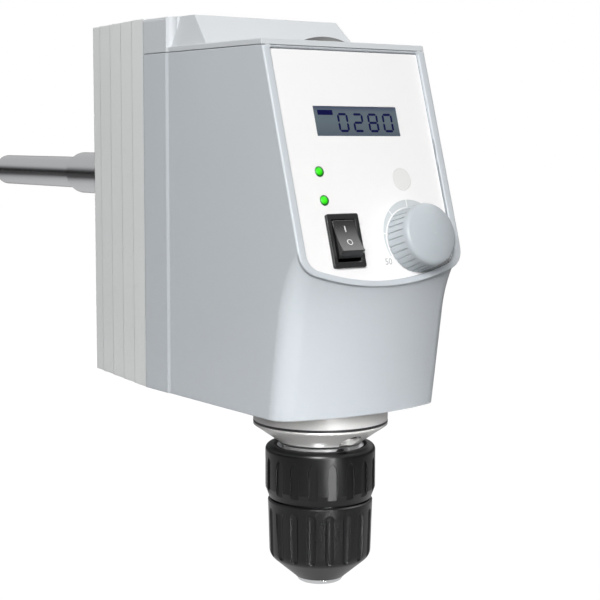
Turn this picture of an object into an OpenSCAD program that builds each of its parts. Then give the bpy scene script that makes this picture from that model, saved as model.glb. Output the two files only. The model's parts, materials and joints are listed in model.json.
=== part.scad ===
// Overhead laboratory stirrer: belt drive, hollow spindle, keyless three-jaw chuck.
// The pieces are drawn about the spindle, with the underside of the housing at Z = 0
// and the panel facing -Y, and in_frame() then moves them to the support rod.

/* [Housing] */
// Width across the flat sides of the front shell
body_w = 80; // [76:0.5:90]
// Height of the flat top above the underside
body_h = 145.4; // [142:0.2:156]
// Rise of the hump and of the side band over the flat top
hump_rise = 12.3; // [10:0.1:16]
// Depth of the seam under the flat top
seam_drop = 2.5; // [2:0.1:4]
// Thickness of the moulded walls
wall = 3; // [2.4:0.1:3.6]
// How far the side band stands proud of the front shell
band_proud = 0.5; // [0.2:0.1:1]
// Radius of the hollow between the side band and the hump
band_fillet = 3.3; // [2:0.1:4]
// Distance from the spindle back to the side band
band_y = 53.7; // [50:0.1:58]
// Distance from the spindle back to the joint with the rear cover
split_y = 72.8; // [68:0.1:78]
// Distance from the spindle back to the rear face
back_y = 137; // [132:0.5:150]
// How far the rear cover stands above the hump
rear_rise = 0.3; // [0.1:0.1:1]
// Width of the rear face over the width of the body
back_share = 0.785; // [0.74:0.005:0.86]
// Number of lapped ribs along each side of the rear cover
rib_count = 5; // [3:1:7]
// Step between two ribs
rib_step = 0.6; // [0.3:0.1:1]
// Radius of the upright rear corners
rear_corner_r = 4; // [2:0.5:6]

/* [Hump] */
// Distance from the side of the body in to the top of the hump
hump_top_in = 4; // [3:0.5:7]
// Distance from the side of the body in to the foot of the hump
hump_foot_in = 1.6; // [1.2:0.1:2.5]
// Where the sloping front of the hump meets its top
hump_top_y = 38.5; // [34:0.5:42]
// Where the sloping front of the hump meets the flat top
hump_foot_y = 26; // [22:0.5:30]
// Radius along the long upper edges
edge_r = 1.4; // [0.8:0.1:2]

/* [Chin] */
// Radius of the curved front at the underside
chin_r = 105; // [95:1:120]
// Distance from the spindle forward to the front at the underside
chin_y = 34.2; // [32:0.1:38]
// Height where the front starts to flare
flare_z = 40; // [36:0.5:44]
// How far the front leans out up to that height
chin_lean = 5.8; // [4:0.1:8]
// Radius of the flare
flare_r = 50; // [40:1:60]
// Radius on the upright front corners
corner_r = 10; // [6:0.5:12]

/* [Panel] */
// Lean of the panel from upright
panel_tilt = 17; // [14:0.5:20]
// Distance from the spindle forward to the top edge of the panel
panel_y = 15; // [13:0.1:18]
// Height of the lower edge of the panel at its middle
lip_z = 51.2; // [48:0.1:54]
// How far the lower edge of the panel rises to its corners
panel_sag = 8.1; // [6:0.1:10]
// Width of the rim around the label
rim_w = 3.4; // [2.5:0.1:5]
// Width of the rim along the lower edge
rim_low = 2.5; // [2:0.1:4]
// Depth of the label below the rim
recess = 0.9; // [0.6:0.1:1.5]
// Thickness of the label plate
label_t = 1; // [0.8:0.1:1.5]
// Thickness of the wall behind the label
front_wall = 2.2; // [1.8:0.1:3]

/* [Display and keys] */
// Width of the display window
lcd_w = 41.2; // [38:0.1:46]
// Height of the display window
lcd_h = 12.05; // [11:0.05:15]
// Place of the window down the panel, over the panel's length
lcd_down = 0.326; // [0.3:0.002:0.34]
// Radius of an indicator lamp
led_r = 2.05; // [1.4:0.05:2.6]
// Sideways place of the lamps over the half width
led_across = -0.57; // [-0.6:0.01:-0.5]
// Place of the upper lamp down the panel
led_down = 0.53; // [0.51:0.002:0.55]
// Distance between the two lamps over the panel's length
led_step = 0.1147; // [0.1:0.0001:0.125]
// Radius of the mode button
mode_r = 4.4; // [3.5:0.1:5]
// Sideways place of the mode button over the half width
mode_across = 0.4225; // [0.35:0.0025:0.5]
// Place of the mode button down the panel
mode_down = 0.5665; // [0.55:0.0005:0.58]
// Travel of the mode button
mode_travel = 0.5; // [0.3:0.05:0.6]

/* [Rocker switch] */
// Width of the switch bezel
bezel_w = 15; // [14:0.1:16]
// Length of the switch bezel
bezel_h = 21; // [20:0.1:23]
// Sideways place of the switch over the half width
switch_across = -0.4175; // [-0.5:0.0025:-0.38]
// Place of the switch down the panel
switch_down = 0.8086; // [0.79:0.0002:0.82]
// Swing of the rocker between ON and OFF
rocker_swing = 32; // [24:1:32]

/* [Knob] */
// Sideways place of the knob over the half width
knob_across = 0.425; // [0.4:0.005:0.46]
// Place of the knob down the panel
knob_down = 0.8182; // [0.81:0.0002:0.825]
// Radius of the knob at its foot
knob_r = 13; // [11:0.1:13.6]
// Radius of the knob at its rim
knob_top_r = 12.4; // [10:0.1:13]
// Height of the ribbed skirt
knob_h = 9.5; // [9:0.5:12]
// Rounding radius of the rim
knob_round = 2.2; // [1.5:0.1:2.6]
// Radius of the domed face
knob_dome_r = 34; // [28:1:60]
// Number of grooves around the skirt
knob_grooves = 30; // [20:1:36]
// Radius of the potentiometer shaft
pot_shaft_r = 3; // [2.5:0.1:3.2]

/* [Spindle] */
// Radius of the passage through the spindle
bore_r = 5.3; // [4.2:0.1:5.6]
// Radius of the spindle in its bearings
spindle_r = 7.5; // [7:0.1:8]
// Depth of the top of the spindle under the flat top
spindle_drop = 29.4; // [28:0.2:34]
// Outside radius of a spindle bearing
bearing_r = 16; // [14:0.5:17]
// Width of a spindle bearing
bearing_w = 9; // [7:0.5:10]
// Radius of the spindle housing inside the body
tube_r = 18; // [17.2:0.1:18.5]
// Height of the spindle housing over the height of the flat top
tube_share = 0.509; // [0.5:0.001:0.52]

/* [Collar] */
// Radius of the collar under the body
collar_r = 27.7; // [26:0.1:30]
// Height of the collar
collar_h = 6.6; // [5:0.1:8]
// Width of the dark groove between collar and cap
groove_w = 0.8; // [0.5:0.1:1.2]
// Depth of the lower end of the bearing cap
cap_bottom = 15.6; // [15:0.1:16.4]
// Radius of the lower end of the bearing cap
cap_r = 17.4; // [16.5:0.1:19]
// Number of screw pockets in the bearing cap
pocket_count = 3; // [3:1:4]
// Radius of a screw pocket
pocket_r = 4.4; // [3.6:0.1:4.6]
// Radius of the circle of screw pockets
pocket_ring = 20.4; // [20.2:0.1:22]

/* [Chuck] */
// Depth of the top of the rear sleeve
rear_sleeve_top = 17; // [16.8:0.1:18]
// Depth of the gap between the sleeves
sleeve_gap_z = 39.4; // [38:0.1:42]
// Width of the gap between the sleeves
sleeve_gap = 0.7; // [0.5:0.1:1]
// Radius of the rear sleeve
rear_sleeve_r = 22.7; // [22:0.1:24]
// Radius of the front sleeve at its upper end
front_sleeve_r = 21.6; // [21:0.1:22.4]
// Radius of the front sleeve before its nose
front_low_r = 21; // [20.4:0.1:21.2]
// Depth where the nose of the front sleeve starts
nose_z = 61; // [60:0.5:62]
// Depth of the lower end of the front sleeve
sleeve_end = 72.5; // [72:0.1:73]
// Depth of the lower end of the chuck body
chuck_end = 74.5; // [74.2:0.1:76]
// Radius of the nose of the chuck body
nose_r = 9.4; // [9:0.1:9.6]
// Radius of the chuck body
core_r = 18.1; // [17.8:0.1:18.6]
// Number of flutes on each sleeve
flute_count = 18; // [12:1:20]
// Width of a flute
flute_w = 3.7; // [3:0.1:4.2]
// Depth of a flute of the rear sleeve
flute_depth = 0.7; // [0.3:0.1:0.8]
// Depth of a flute of the front sleeve
front_flute_depth = 0.9; // [0.5:0.1:1.1]
// Plain length above the flutes of the rear sleeve
flute_top = 4.4; // [3:0.1:6]
// Lean of the jaws from the spindle axis
jaw_angle = 16; // [14:0.5:17]
// Radius of the round jaws
jaw_r = 2.4; // [2.2:0.05:2.6]
// Distance that each jaw closes on the axis
jaw_close = 4.95; // [4:0.05:5]

/* [Drive] */
// Distance from the spindle back to the motor
motor_y = 62; // [60:0.5:64]
// Radius of the motor
motor_r = 27; // [24:0.5:28]
// Height of the underside of the motor
motor_low = 18; // [17:0.5:30]
// Radius of the motor shaft
shaft_r = 3; // [2.5:0.1:4]
// Belt line radius on the spindle pulley
pulley_r = 17; // [15:0.2:17.4]
// Spindle pulley size over motor pulley size
drive_ratio = 2; // [1.6:0.1:2.2]
// Width of the belt
belt_w = 8; // [6:0.5:10]
// Thickness of the belt
belt_t = 2; // [1.6:0.1:2.4]
// Thickness of the motor plate
plate_t = 4; // [3:0.5:5]

/* [Support rod] */
// Radius of the support rod
rod_r = 8; // [6:0.5:8]
// Height of the rod above the underside
rod_z = 90; // [84:0.5:96]
// Free length of the rod
rod_len = 92; // [80:1:160]
// How far the rod socket stands out of the rear face
socket_len = 68; // [30:1:80]
// Outside radius of the rod socket
socket_r = 10.4; // [9.5:0.1:12]

/* [Power inlet] */
// Height of the power inlet above the underside
inlet_z = 34; // [30:0.5:38]
// Width of the inlet flange
inlet_flange_w = 50; // [49:0.5:52]
// Height of the inlet flange
inlet_flange_h = 23; // [22:0.5:25]
// Distance between the two inlet screws
inlet_pitch = 40; // [39:0.5:41]

/* [Fits] */
// Radial play of a shaft in its bearing
run_gap = 0.05; // [0.02:0.01:0.08]
// Play between pieces that slide past each other
slide_gap = 0.25; // [0.15:0.05:0.4]
// Radius of the long screws that hold the rear cover
case_screw_r = 2; // [1.5:0.1:2.5]
// Radius of the small screws
small_screw_r = 1.5; // [1.2:0.1:1.6]

/* [Hidden] */
$fn = 96;
eps = 0.01;
far = 400;
half_w = body_w / 2;
seam_z = body_h - seam_drop;
hump_h = body_h + hump_rise;
hump_top_half = half_w - hump_top_in;
hump_foot_half = half_w - hump_foot_in;
rear_h = hump_h + rear_rise;
back_w = back_share * body_w;
panel_len = (body_h - lip_z) / cos(panel_tilt);
lcd_s = lcd_down * panel_len;
led_x = led_across * half_w;
led_s = led_down * panel_len;
led_pitch = led_step * panel_len;
mode_x = mode_across * half_w;
mode_s = mode_down * panel_len;
switch_x = switch_across * half_w;
switch_s = switch_down * panel_len;
knob_x = knob_across * half_w;
knob_s = knob_down * panel_len;
spindle_top = body_h - spindle_drop;
tube_top = tube_share * body_h;
motor_h = tube_top - motor_low;
chin_axis_y = chin_r - chin_y;
chin_lean_angle = atan(chin_lean / flare_z);
flare_x = chin_r + chin_lean + flare_r * cos(chin_lean_angle);
flare_centre_z = flare_z - flare_r * sin(chin_lean_angle);
lip_r = chin_r + 17;
bevel_w = 1.8;
seam_line = 0.25;
seam_inset = 1;
label_corner_r = 6.6;
panel_arc_r = (half_w * half_w + panel_sag * panel_sag) / (2 * panel_sag);
label_lift = -recess;
back_lift = -recess - label_t;
inner_lift = back_lift - front_wall;
label_gap = 0.1;
board_lift = inner_lift - 5.4;
board_t = 1.6;
control_s0 = lcd_s - 14;
control_s1 = mode_s + 10;
bezel_t = 1.3;
switch_depth = 18;
rocker_hole_w = bezel_w - 3.7;
rocker_hole_h = bezel_h - 4.5;
rocker_pivot = label_lift - 2.4;
rocker_pin_r = 1;
rocker_pin_reach = rocker_hole_w / 2 + 0.45;
knob_foot = label_lift + 0.4;
knob_groove_w = 0.6;
knob_groove_depth = 0.4;
pot_r = 8.2;
pot_depth = 9;
rib_pitch = (back_y - split_y) / rib_count;
rib_lean = (half_w - back_w / 2) / (back_y - split_y);
case_x = half_w - 15.5;
case_low_z = 11;
case_high_z = body_h - 9.4;
post_r = 5.5;
case_seat_y = split_y + 15;
pilot_len = 16;
cover_screw_x = half_w - 9;
cover_screw_y = split_y - pilot_len - 10;
socket_flange_r = 17;
socket_flange_t = 5;
socket_screw_ring = 13.5;
inlet_body_w = 27;
inlet_body_h = 19.6;
inlet_depth = 24;
inlet_lip = 2.6;
inlet_cave = 16;
board_z0 = inlet_z + 22;
board_z1 = case_high_z - post_r - 1;
board_half = back_w / 2 - 4.4;
board_y = back_y - wall - 12;
board_post_x = board_half - 7;
board_low_z = board_z0 + 6;
board_high_z = board_z1 - 14;
cap_top = -collar_h - groove_w;
collar_lip_z = cap_top - 1;
plate_z = tube_top;
pulley_z = plate_z + plate_t + 3;
pulley_w = belt_w + 3;
motor_belt_r = pulley_r / drive_ratio;
belt_angle = asin((pulley_r - motor_belt_r) / motor_y);
pillar_x = half_w - 11;
pillar_y = 29;
pillar_r = 4;
motor_screw_ring = 20;
stator_bore = 15;
rotor_gap = 0.5;
flange_screw_len = 5;
flange_screw_angles = [90, 210, 330];
cap_screw_turn = -91;
tube_hole_r = tube_r + 0.3;
passage_r = 7;
passage_wall = 2;
passage_low = spindle_top + 3;
passage_flange_t = 2.5;
plug_len = 8;
cap_dome_r = 10.6;
cap_dome_h = 2.8;
spindle_low = -34;
core_top = rear_sleeve_top - 0.6;
jaw_face_r = bore_r + 0.05;
jaw_axis_r = jaw_face_r + 0.7;
jaw_top_z = -sleeve_gap_z - 4.3;
jaw_tip_z = -chuck_end + 0.4;
nut_top = -chuck_end + 17;
nut_low = -chuck_end + 10;
nut_r = 16.9;
wedge_tan = tan(60);
rod_mid_y = back_y + socket_len + rod_len / 2;
rod_tail_r = rod_r - 2;

// Moves the drawing from the spindle to the middle of the free rod.
module in_frame() { translate([0, -rod_mid_y, -rod_z]) children(); }

// Places children on the panel: X across, s down from its top edge, lift out of the rim plane.
module on_panel(x = 0, s = 0, lift = 0) {
    translate([0, -panel_y, body_h]) rotate([90 - panel_tilt, 0, 0]) translate([x, -s, lift]) children();
}

// Points local Z from one place towards another.
module along(a, b) {
    v = b - a;
    translate(a) rotate([0, acos(v[2] / norm(v)), atan2(v[1], v[0])]) children();
}

// Rectangle on the floor plane with exact round corners.
module round_rect(w, h, r) {
    square([w - 2 * r, h], center = true);
    square([w, h - 2 * r], center = true);
    for (x = [-1, 1], y = [-1, 1]) translate([x * (w / 2 - r), y * (h / 2 - r)]) circle(r, $fn = 48);
}

// Ring about Z.
module ring(outer, inner, z0, z1) {
    translate([0, 0, z0]) difference() {
        cylinder(r = outer, h = z1 - z0);
        translate([0, 0, -1]) cylinder(r = inner, h = z1 - z0 + 2);
    }
}

// Cylinder that runs towards +Y from y0 to y1.
module y_rod(x, z, r, y0, y1) {
    translate([x, y0, z]) rotate([-90, 0, 0]) cylinder(r = r, h = y1 - y0, $fn = 48);
}

// Half of the section through the curved front: a leaning line, then a flare.
module chin_section(inset) {
    polygon([[0, 0], [chin_r - inset, 0], [chin_r + chin_lean - inset, flare_z], [0, flare_z]]);
    difference() {
        translate([0, flare_z - eps]) square([lip_r - inset, hump_h]);
        translate([flare_x, flare_centre_z]) circle(flare_r + inset, $fn = 180);
    }
}

// Radius of the curved front about its own upright axis, at a height.
function front_r(z) = z < flare_z ? chin_r + chin_lean * z / flare_z
    : flare_x - sqrt(flare_r * flare_r - (z - flare_centre_z) * (z - flare_centre_z));

// Section of the cut that rounds a front corner at a height: an arc from side to front and back outside it.
function corner_loop(z, steps) = let (
        reach = front_r(z) - corner_r + 0.03,
        cx = half_w - corner_r + 0.03,
        turn = -acos(cx / reach),
        cy = chin_axis_y - sqrt(reach * reach - cx * cx)
    ) concat(
        [for (i = [0 : steps]) let (a = turn * i / steps) [cx + corner_r * cos(a), cy + corner_r * sin(a), z]],
        [for (i = [steps : -1 : 0]) let (a = turn * i / steps, r = corner_r + 8)
            [cx + r * cos(a), cy + r * sin(a), z]]);

// Cuts one upright front corner with a stack of sections that follow the flare up to the lip.
module corner_cut() {
    steps = 12;
    levels = concat([-1, 0, flare_z / 2], [for (z = [flare_z : 1.75 : lip_z + 17]) z]);
    loops = [for (z = levels) corner_loop(z, steps)];
    m = len(loops[0]);
    polyhedron(points = [for (loop = loops) for (p = loop) p], faces = concat(
        [[for (i = [0 : m - 1]) i]],
        [[for (i = [m - 1 : -1 : 0]) (len(levels) - 1) * m + i]],
        [for (k = [0 : len(levels) - 2], i = [0 : m - 1], half = [0, 1]) let (j = (i + 1) % m)
            half == 0 ? [k * m + i, (k + 1) * m + i, (k + 1) * m + j]
                : [k * m + i, (k + 1) * m + j, k * m + j]]));
}

// Everything behind a plane that lies at the given lift from the rim of the panel.
module behind_panel(lift) {
    on_panel(0, 0, lift) translate([-far, -far, -far]) cube([2 * far, 2 * far, far]);
}

// Front shell as a solid with square front corners, up to a given height.
module front_form(top) {
    proud_x = half_w + band_proud;
    bevel_y = band_y - 1;
    intersection() {
        linear_extrude(height = top) polygon([[-half_w, -far / 4], [half_w, -far / 4], [half_w, bevel_y],
            [proud_x, bevel_y + bevel_w], [proud_x, split_y], [-proud_x, split_y],
            [-proud_x, bevel_y + bevel_w], [-half_w, bevel_y]]);
        translate([0, chin_axis_y, 0]) rotate_extrude($fn = 180) chin_section(0);
        behind_panel(0);
    }
}

// Hollow inside the front shell, from the floor upwards.
module front_cavity(top) {
    intersection() {
        translate([wall - half_w, -far / 4, wall]) cube([body_w - 2 * wall, far / 4 + split_y + 1, top]);
        translate([0, chin_axis_y, 0]) rotate_extrude($fn = 180) chin_section(wall);
        behind_panel(inner_lift);
    }
}

// Outline of the label on the panel, in panel coordinates with s pointing down.
module label_outline(side, low, top, lower_r) {
    edge = half_w - side;
    arc_r = panel_arc_r - low;
    arc_s = panel_len - panel_arc_r;
    inner = edge - lower_r;
    mid_s = arc_s + sqrt((arc_r - lower_r) * (arc_r - lower_r) - inner * inner);
    touch_x = inner * arc_r / (arc_r - lower_r);
    touch_s = arc_s + (mid_s - arc_s) * arc_r / (arc_r - lower_r);
    upper_r = 1;
    mirror([0, 1, 0]) {
        translate([-edge, top + upper_r]) square([2 * edge, mid_s - top - upper_r]);
        translate([-edge + upper_r, top]) square([2 * (edge - upper_r), touch_s - top]);
        intersection() {
            translate([-touch_x, mid_s]) square([2 * touch_x, panel_len]);
            translate([0, arc_s]) circle(arc_r, $fn = 360);
        }
        for (x = [-1, 1]) {
            translate([x * inner, mid_s]) circle(lower_r);
            translate([x * (edge - upper_r), top + upper_r]) circle(upper_r, $fn = 48);
        }
    }
}

// Holes in the wall behind the label for what passes through it.
module front_wall_holes() {
    on_panel(0, lcd_s, inner_lift - 1) linear_extrude(height = front_wall + 2)
        square([lcd_w + 3, lcd_h + 5], center = true);
    for (i = [0, 1]) on_panel(led_x, led_s + i * led_pitch, inner_lift - 1) cylinder(r = led_r + 0.1, h = 6);
    on_panel(mode_x, mode_s, inner_lift - 1) cylinder(r = mode_r / 2 + slide_gap, h = 6);
    on_panel(mode_x, mode_s, back_lift - mode_travel - 0.3) cylinder(r = mode_r + slide_gap, h = 6);
    on_panel(switch_x, switch_s, inner_lift - 1)
        linear_extrude(height = 6) square([bezel_w - 2, bezel_h - 2], center = true);
    on_panel(knob_x, knob_s, inner_lift - 1) cylinder(r = pot_shaft_r + 1.5, h = 6);
}

// Upright post along Y with a pilot hole, tied to the wall by a web.
module case_post(x, z) {
    y_rod(x, z, post_r, split_y - pilot_len - 4, split_y);
}

module main_housing() {
    color([0.74, 0.78, 0.81]) difference() {
        union() {
            difference() {
                front_form(seam_z);
                front_cavity(far / 2);
            }
            for (x = [-1, 1]) {
                for (z = [case_low_z, case_high_z]) case_post(x * case_x, z);
                translate([x * case_x - 1.5, split_y - pilot_len - 4, wall - eps])
                    cube([3, pilot_len + 4, case_low_z - wall]);
                translate([x > 0 ? case_x : wall / 2 - half_w, split_y - pilot_len - 4, case_high_z - 1.5])
                    cube([half_w - wall / 2 - case_x, pilot_len + 4, 3]);
                translate([x > 0 ? cover_screw_x - 4 : wall / 2 - half_w, cover_screw_y - 4, seam_z - 5])
                    cube([half_w - wall / 2 - cover_screw_x + 4, 8, 5]);
            }
        }
        for (side = [0, 1]) mirror([side, 0, 0]) corner_cut();
        on_panel(0, 0, back_lift) linear_extrude(height = 10)
            label_outline(rim_w, rim_low, rim_w, label_corner_r);
        front_wall_holes();
        for (x = [-1, 1]) {
            for (z = [case_low_z, case_high_z])
                y_rod(x * case_x, z, case_screw_r, split_y - pilot_len, split_y + 1);
            translate([x * cover_screw_x, cover_screw_y, seam_z - 8])
                cylinder(r = small_screw_r, h = 10, $fn = 48);
        }
        translate([0, 0, -1]) cylinder(r = tube_hole_r, h = wall + 2);
        for (a = flange_screw_angles) rotate(a) translate([collar_r - 4, 0, -1])
            cylinder(r = small_screw_r + 0.2, h = wall + 2, $fn = 48);
    }
}

// Outline of the hump across the body, at a given inset.
module hump_section(inset) {
    low = seam_z - 2 * inset;
    polygon([[-hump_foot_half + inset, low], [hump_foot_half - inset, low],
        [hump_foot_half - inset, body_h], [hump_top_half - inset, hump_h - inset],
        [-hump_top_half + inset, hump_h - inset], [-hump_foot_half + inset, body_h]]);
}

// Outline of the hump along the body, at a given inset.
module hump_profile(inset) {
    low = seam_z - 2 * inset;
    polygon([[hump_foot_y + inset, low], [hump_foot_y + inset, body_h - inset],
        [hump_top_y + inset, hump_h - inset], [split_y + 1, hump_h - inset], [split_y + 1, low]]);
}

// Extrudes a YZ outline across the body, over a given half width.
module across(half) {
    rotate([90, 0, 90]) translate([0, 0, -half]) linear_extrude(height = 2 * half) children();
}

// Extrudes an XZ outline along the body, from y0 to y1.
module lengthwise(y0, y1) {
    translate([0, y1, 0]) rotate([90, 0, 0]) linear_extrude(height = y1 - y0) children();
}

// Hollow quarter round that joins the front of the side band to the side of the hump.
module band_hollow() {
    corner_x = half_w + band_proud;
    intersection() {
        lengthwise(band_y - band_fillet, band_y + eps) translate([0, hump_h / 2])
            round_rect(2 * corner_x, hump_h, edge_r);
        for (side = [-1, 1]) translate([0, 0, seam_z]) linear_extrude(height = hump_h - seam_z) difference() {
            translate([side * (corner_x + hump_top_half - 1) / 2, band_y - band_fillet / 2])
                square([corner_x - hump_top_half + 1, band_fillet + 2 * eps], center = true);
            translate([side * corner_x, band_y - band_fillet]) circle(band_fillet);
        }
    }
}

module top_cover() {
    color([0.82, 0.85, 0.87]) difference() {
        union() {
            intersection() {
                front_form(body_h);
                lengthwise(-far / 4, split_y) translate([0, (seam_z + body_h) / 2 - 3])
                    round_rect(body_w + 2 * band_proud, seam_drop + 6, edge_r);
                translate([-far, -far, seam_z]) cube([2 * far, 2 * far, seam_drop]);
            }
            intersection() {
                lengthwise(hump_foot_y, split_y) hump_section(0);
                across(half_w) hump_profile(0);
            }
            intersection() {
                lengthwise(band_y, split_y) translate([0, hump_h / 2])
                    round_rect(body_w + 2 * band_proud, hump_h, edge_r);
                translate([-far, band_y, seam_z]) cube([2 * far, split_y - band_y, hump_h - seam_z]);
            }
            band_hollow();
        }
        difference() {
            translate([-far, -far, seam_z - 1]) cube([2 * far, 2 * far, 1 + seam_line]);
            intersection() {
                translate([seam_inset - half_w, -far, 0]) cube([body_w - 2 * seam_inset, 2 * far, hump_h]);
                behind_panel(-seam_inset);
            }
        }
        intersection() {
            lengthwise(0, split_y + 1) hump_section(wall);
            across(half_w) hump_profile(wall);
        }
        translate([0, 0, seam_z - 1]) cylinder(r = passage_r + passage_wall, h = seam_drop + 2);
        for (x = [-1, 1]) translate([x * cover_screw_x, cover_screw_y, seam_z - 1])
            cylinder(r = small_screw_r, h = 8, $fn = 48);
    }
    for (x = [-1, 1]) color([0.82, 0.85, 0.87]) translate([x * cover_screw_x, cover_screw_y, 0])
        ring(4, small_screw_r, seam_z, hump_h - wall + eps);
}

// Plan of the rear cover: lapped ribs that step in one after the other.
function rib_half(y) = half_w - rib_lean * (y - split_y);
function rib_points() = [for (i = [0 : rib_count - 1], end = [0, 1])
    [rib_half(split_y + (i + end) * rib_pitch) + end * rib_step, split_y + (i + end) * rib_pitch]];

module rear_plan() {
    side = rib_points();
    intersection() {
        polygon(concat(side, [for (i = [len(side) - 1 : -1 : 0]) [-side[i][0], side[i][1]]]));
        union() {
            translate([-far, split_y - far]) square([2 * far, back_y - rear_corner_r - split_y + far]);
            translate([-back_w / 2 + rear_corner_r, split_y])
                square([back_w - 2 * rear_corner_r, back_y - split_y]);
            for (x = [-1, 1]) translate([x * (back_w / 2 - rear_corner_r), back_y - rear_corner_r])
                circle(rear_corner_r);
        }
    }
}

module rear_cover() {
    inner_front = half_w - wall;
    inner_back = back_w / 2 - wall - rib_step;
    color([0.85, 0.87, 0.89]) difference() {
        union() {
            difference() {
                linear_extrude(height = rear_h) rear_plan();
                translate([0, 0, wall]) linear_extrude(height = rear_h - 2 * wall) polygon([
                    [-inner_front, split_y - 1], [inner_front, split_y - 1],
                    [inner_back, back_y - wall], [-inner_back, back_y - wall]]);
            }
            for (x = [-1, 1]) {
                for (z = [case_low_z, case_high_z]) y_rod(x * case_x, z, post_r, split_y, back_y - wall + eps);
                for (z = [board_low_z, board_high_z])
                    y_rod(x * board_post_x, z, 3, board_y, back_y - wall + eps);
            }
        }
        for (x = [-1, 1]) {
            for (z = [case_low_z, case_high_z]) {
                y_rod(x * case_x, z, case_screw_r + 0.1, split_y - 1, back_y + 1);
                y_rod(x * case_x, z, 2 * case_screw_r + 0.1, case_seat_y, back_y + 1);
            }
            for (z = [board_low_z, board_high_z])
                y_rod(x * board_post_x, z, small_screw_r, board_y - 1, board_y + 8);
            y_rod(x * inlet_pitch / 2, inlet_z, small_screw_r, back_y - wall - 1, back_y + 1);
        }
        y_rod(0, rod_z, socket_r + 0.1, back_y - wall - 1, back_y + 1);
        for (a = [45 : 90 : 315]) y_rod(socket_screw_ring * cos(a), rod_z + socket_screw_ring * sin(a),
            small_screw_r + 0.1, back_y - wall - 1, back_y + 1);
        translate([0, back_y - wall - 1, inlet_z]) rotate([-90, 0, 0]) linear_extrude(height = wall + 2)
            square([inlet_body_w + 0.4, inlet_body_h + 0.4], center = true);
    }
}

module top_cover_screws() {
    color([0.6, 0.6, 0.62]) for (x = [-1, 1]) translate([x * cover_screw_x, cover_screw_y, 0]) {
        translate([0, 0, seam_z - 5]) cylinder(r = small_screw_r, h = 11, $fn = 48);
        translate([0, 0, seam_z - 5 - 2]) cylinder(r = 2 * small_screw_r, h = 2, $fn = 48);
    }
}

module rear_cover_screws() {
    color([0.5, 0.5, 0.52]) for (x = [-1, 1], z = [case_low_z, case_high_z]) difference() {
        union() {
            y_rod(x * case_x, z, case_screw_r, split_y - pilot_len + 2, case_seat_y);
            y_rod(x * case_x, z, 2 * case_screw_r - 0.2, case_seat_y, case_seat_y + 4);
        }
        translate([x * case_x, case_seat_y + 2, z]) rotate([-90, 0, 0])
            cylinder(r = case_screw_r, h = 3, $fn = 6);
    }
}

module control_panel() {
    color([0.98, 0.98, 0.98]) difference() {
        on_panel(0, 0, back_lift) linear_extrude(height = label_t)
            label_outline(rim_w + label_gap, rim_low + label_gap, rim_w + label_gap, label_corner_r - label_gap);
        on_panel(0, lcd_s, back_lift - 1) linear_extrude(height = 4) square([lcd_w, lcd_h], center = true);
        for (i = [0, 1]) on_panel(led_x, led_s + i * led_pitch, back_lift - 1) cylinder(r = led_r + 0.1, h = 4);
        on_panel(mode_x, mode_s, back_lift - 1) cylinder(r = mode_r + label_gap, h = 4);
        on_panel(switch_x, switch_s, back_lift - 1)
            linear_extrude(height = 4) square([bezel_w - 2, bezel_h - 2], center = true);
        on_panel(knob_x, knob_s, back_lift - 1) cylinder(r = pot_shaft_r + 1.5, h = 4);
    }
}

module lcd_window() {
    color([0.8, 0.86, 0.85, 0.5]) on_panel(0, lcd_s, back_lift) linear_extrude(height = label_t - 0.3)
        square([lcd_w - 0.04, lcd_h - 0.04], center = true);
}

module lcd_module() {
    color([0.42, 0.5, 0.5]) {
        on_panel(0, lcd_s, inner_lift) linear_extrude(height = front_wall)
            square([lcd_w + 2.6, lcd_h + 4.6], center = true);
        on_panel(0, lcd_s, board_lift) linear_extrude(height = inner_lift - board_lift + eps)
            square([lcd_w + 6, lcd_h + 8], center = true);
    }
}

// Lamp with a domed end, standing on the control board.
module lamp(i) {
    color([0.1, 0.8, 0.15]) on_panel(led_x, led_s + i * led_pitch, board_lift) {
        cylinder(r = led_r, h = label_lift - board_lift);
        cylinder(r = led_r + 0.4, h = 1);
        translate([0, 0, label_lift - board_lift]) intersection() {
            translate([0, 0, -led_r * 1.2]) sphere(led_r * 1.56);
            cylinder(r = led_r, h = led_r);
        }
    }
}

module upper_led() { lamp(0); }
module lower_led() { lamp(1); }

module mode_button() {
    color([0.93, 0.94, 0.95]) {
        on_panel(mode_x, mode_s, back_lift) cylinder(r = mode_r, h = label_t);
        on_panel(mode_x, mode_s, board_lift + 2.5 + mode_travel)
            cylinder(r = mode_r / 2, h = back_lift - board_lift - 2.5 - mode_travel + eps);
    }
}

module switch_bezel() {
    color([0.06, 0.06, 0.07]) difference() {
        union() {
            on_panel(switch_x, switch_s, label_lift) linear_extrude(height = bezel_t)
                round_rect(bezel_w, bezel_h, 0.8);
            on_panel(switch_x, switch_s, label_lift - switch_depth) linear_extrude(height = switch_depth + eps)
                square([bezel_w - 2.2, bezel_h - 2.2], center = true);
        }
        on_panel(switch_x, switch_s, rocker_pivot - 6) linear_extrude(height = 12)
            square([rocker_hole_w, rocker_hole_h], center = true);
        on_panel(switch_x, switch_s, rocker_pivot) rotate([0, 90, 0])
            cylinder(r = rocker_pin_r + run_gap, h = 2 * rocker_pin_reach + 0.2, center = true, $fn = 48);
    }
}

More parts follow.
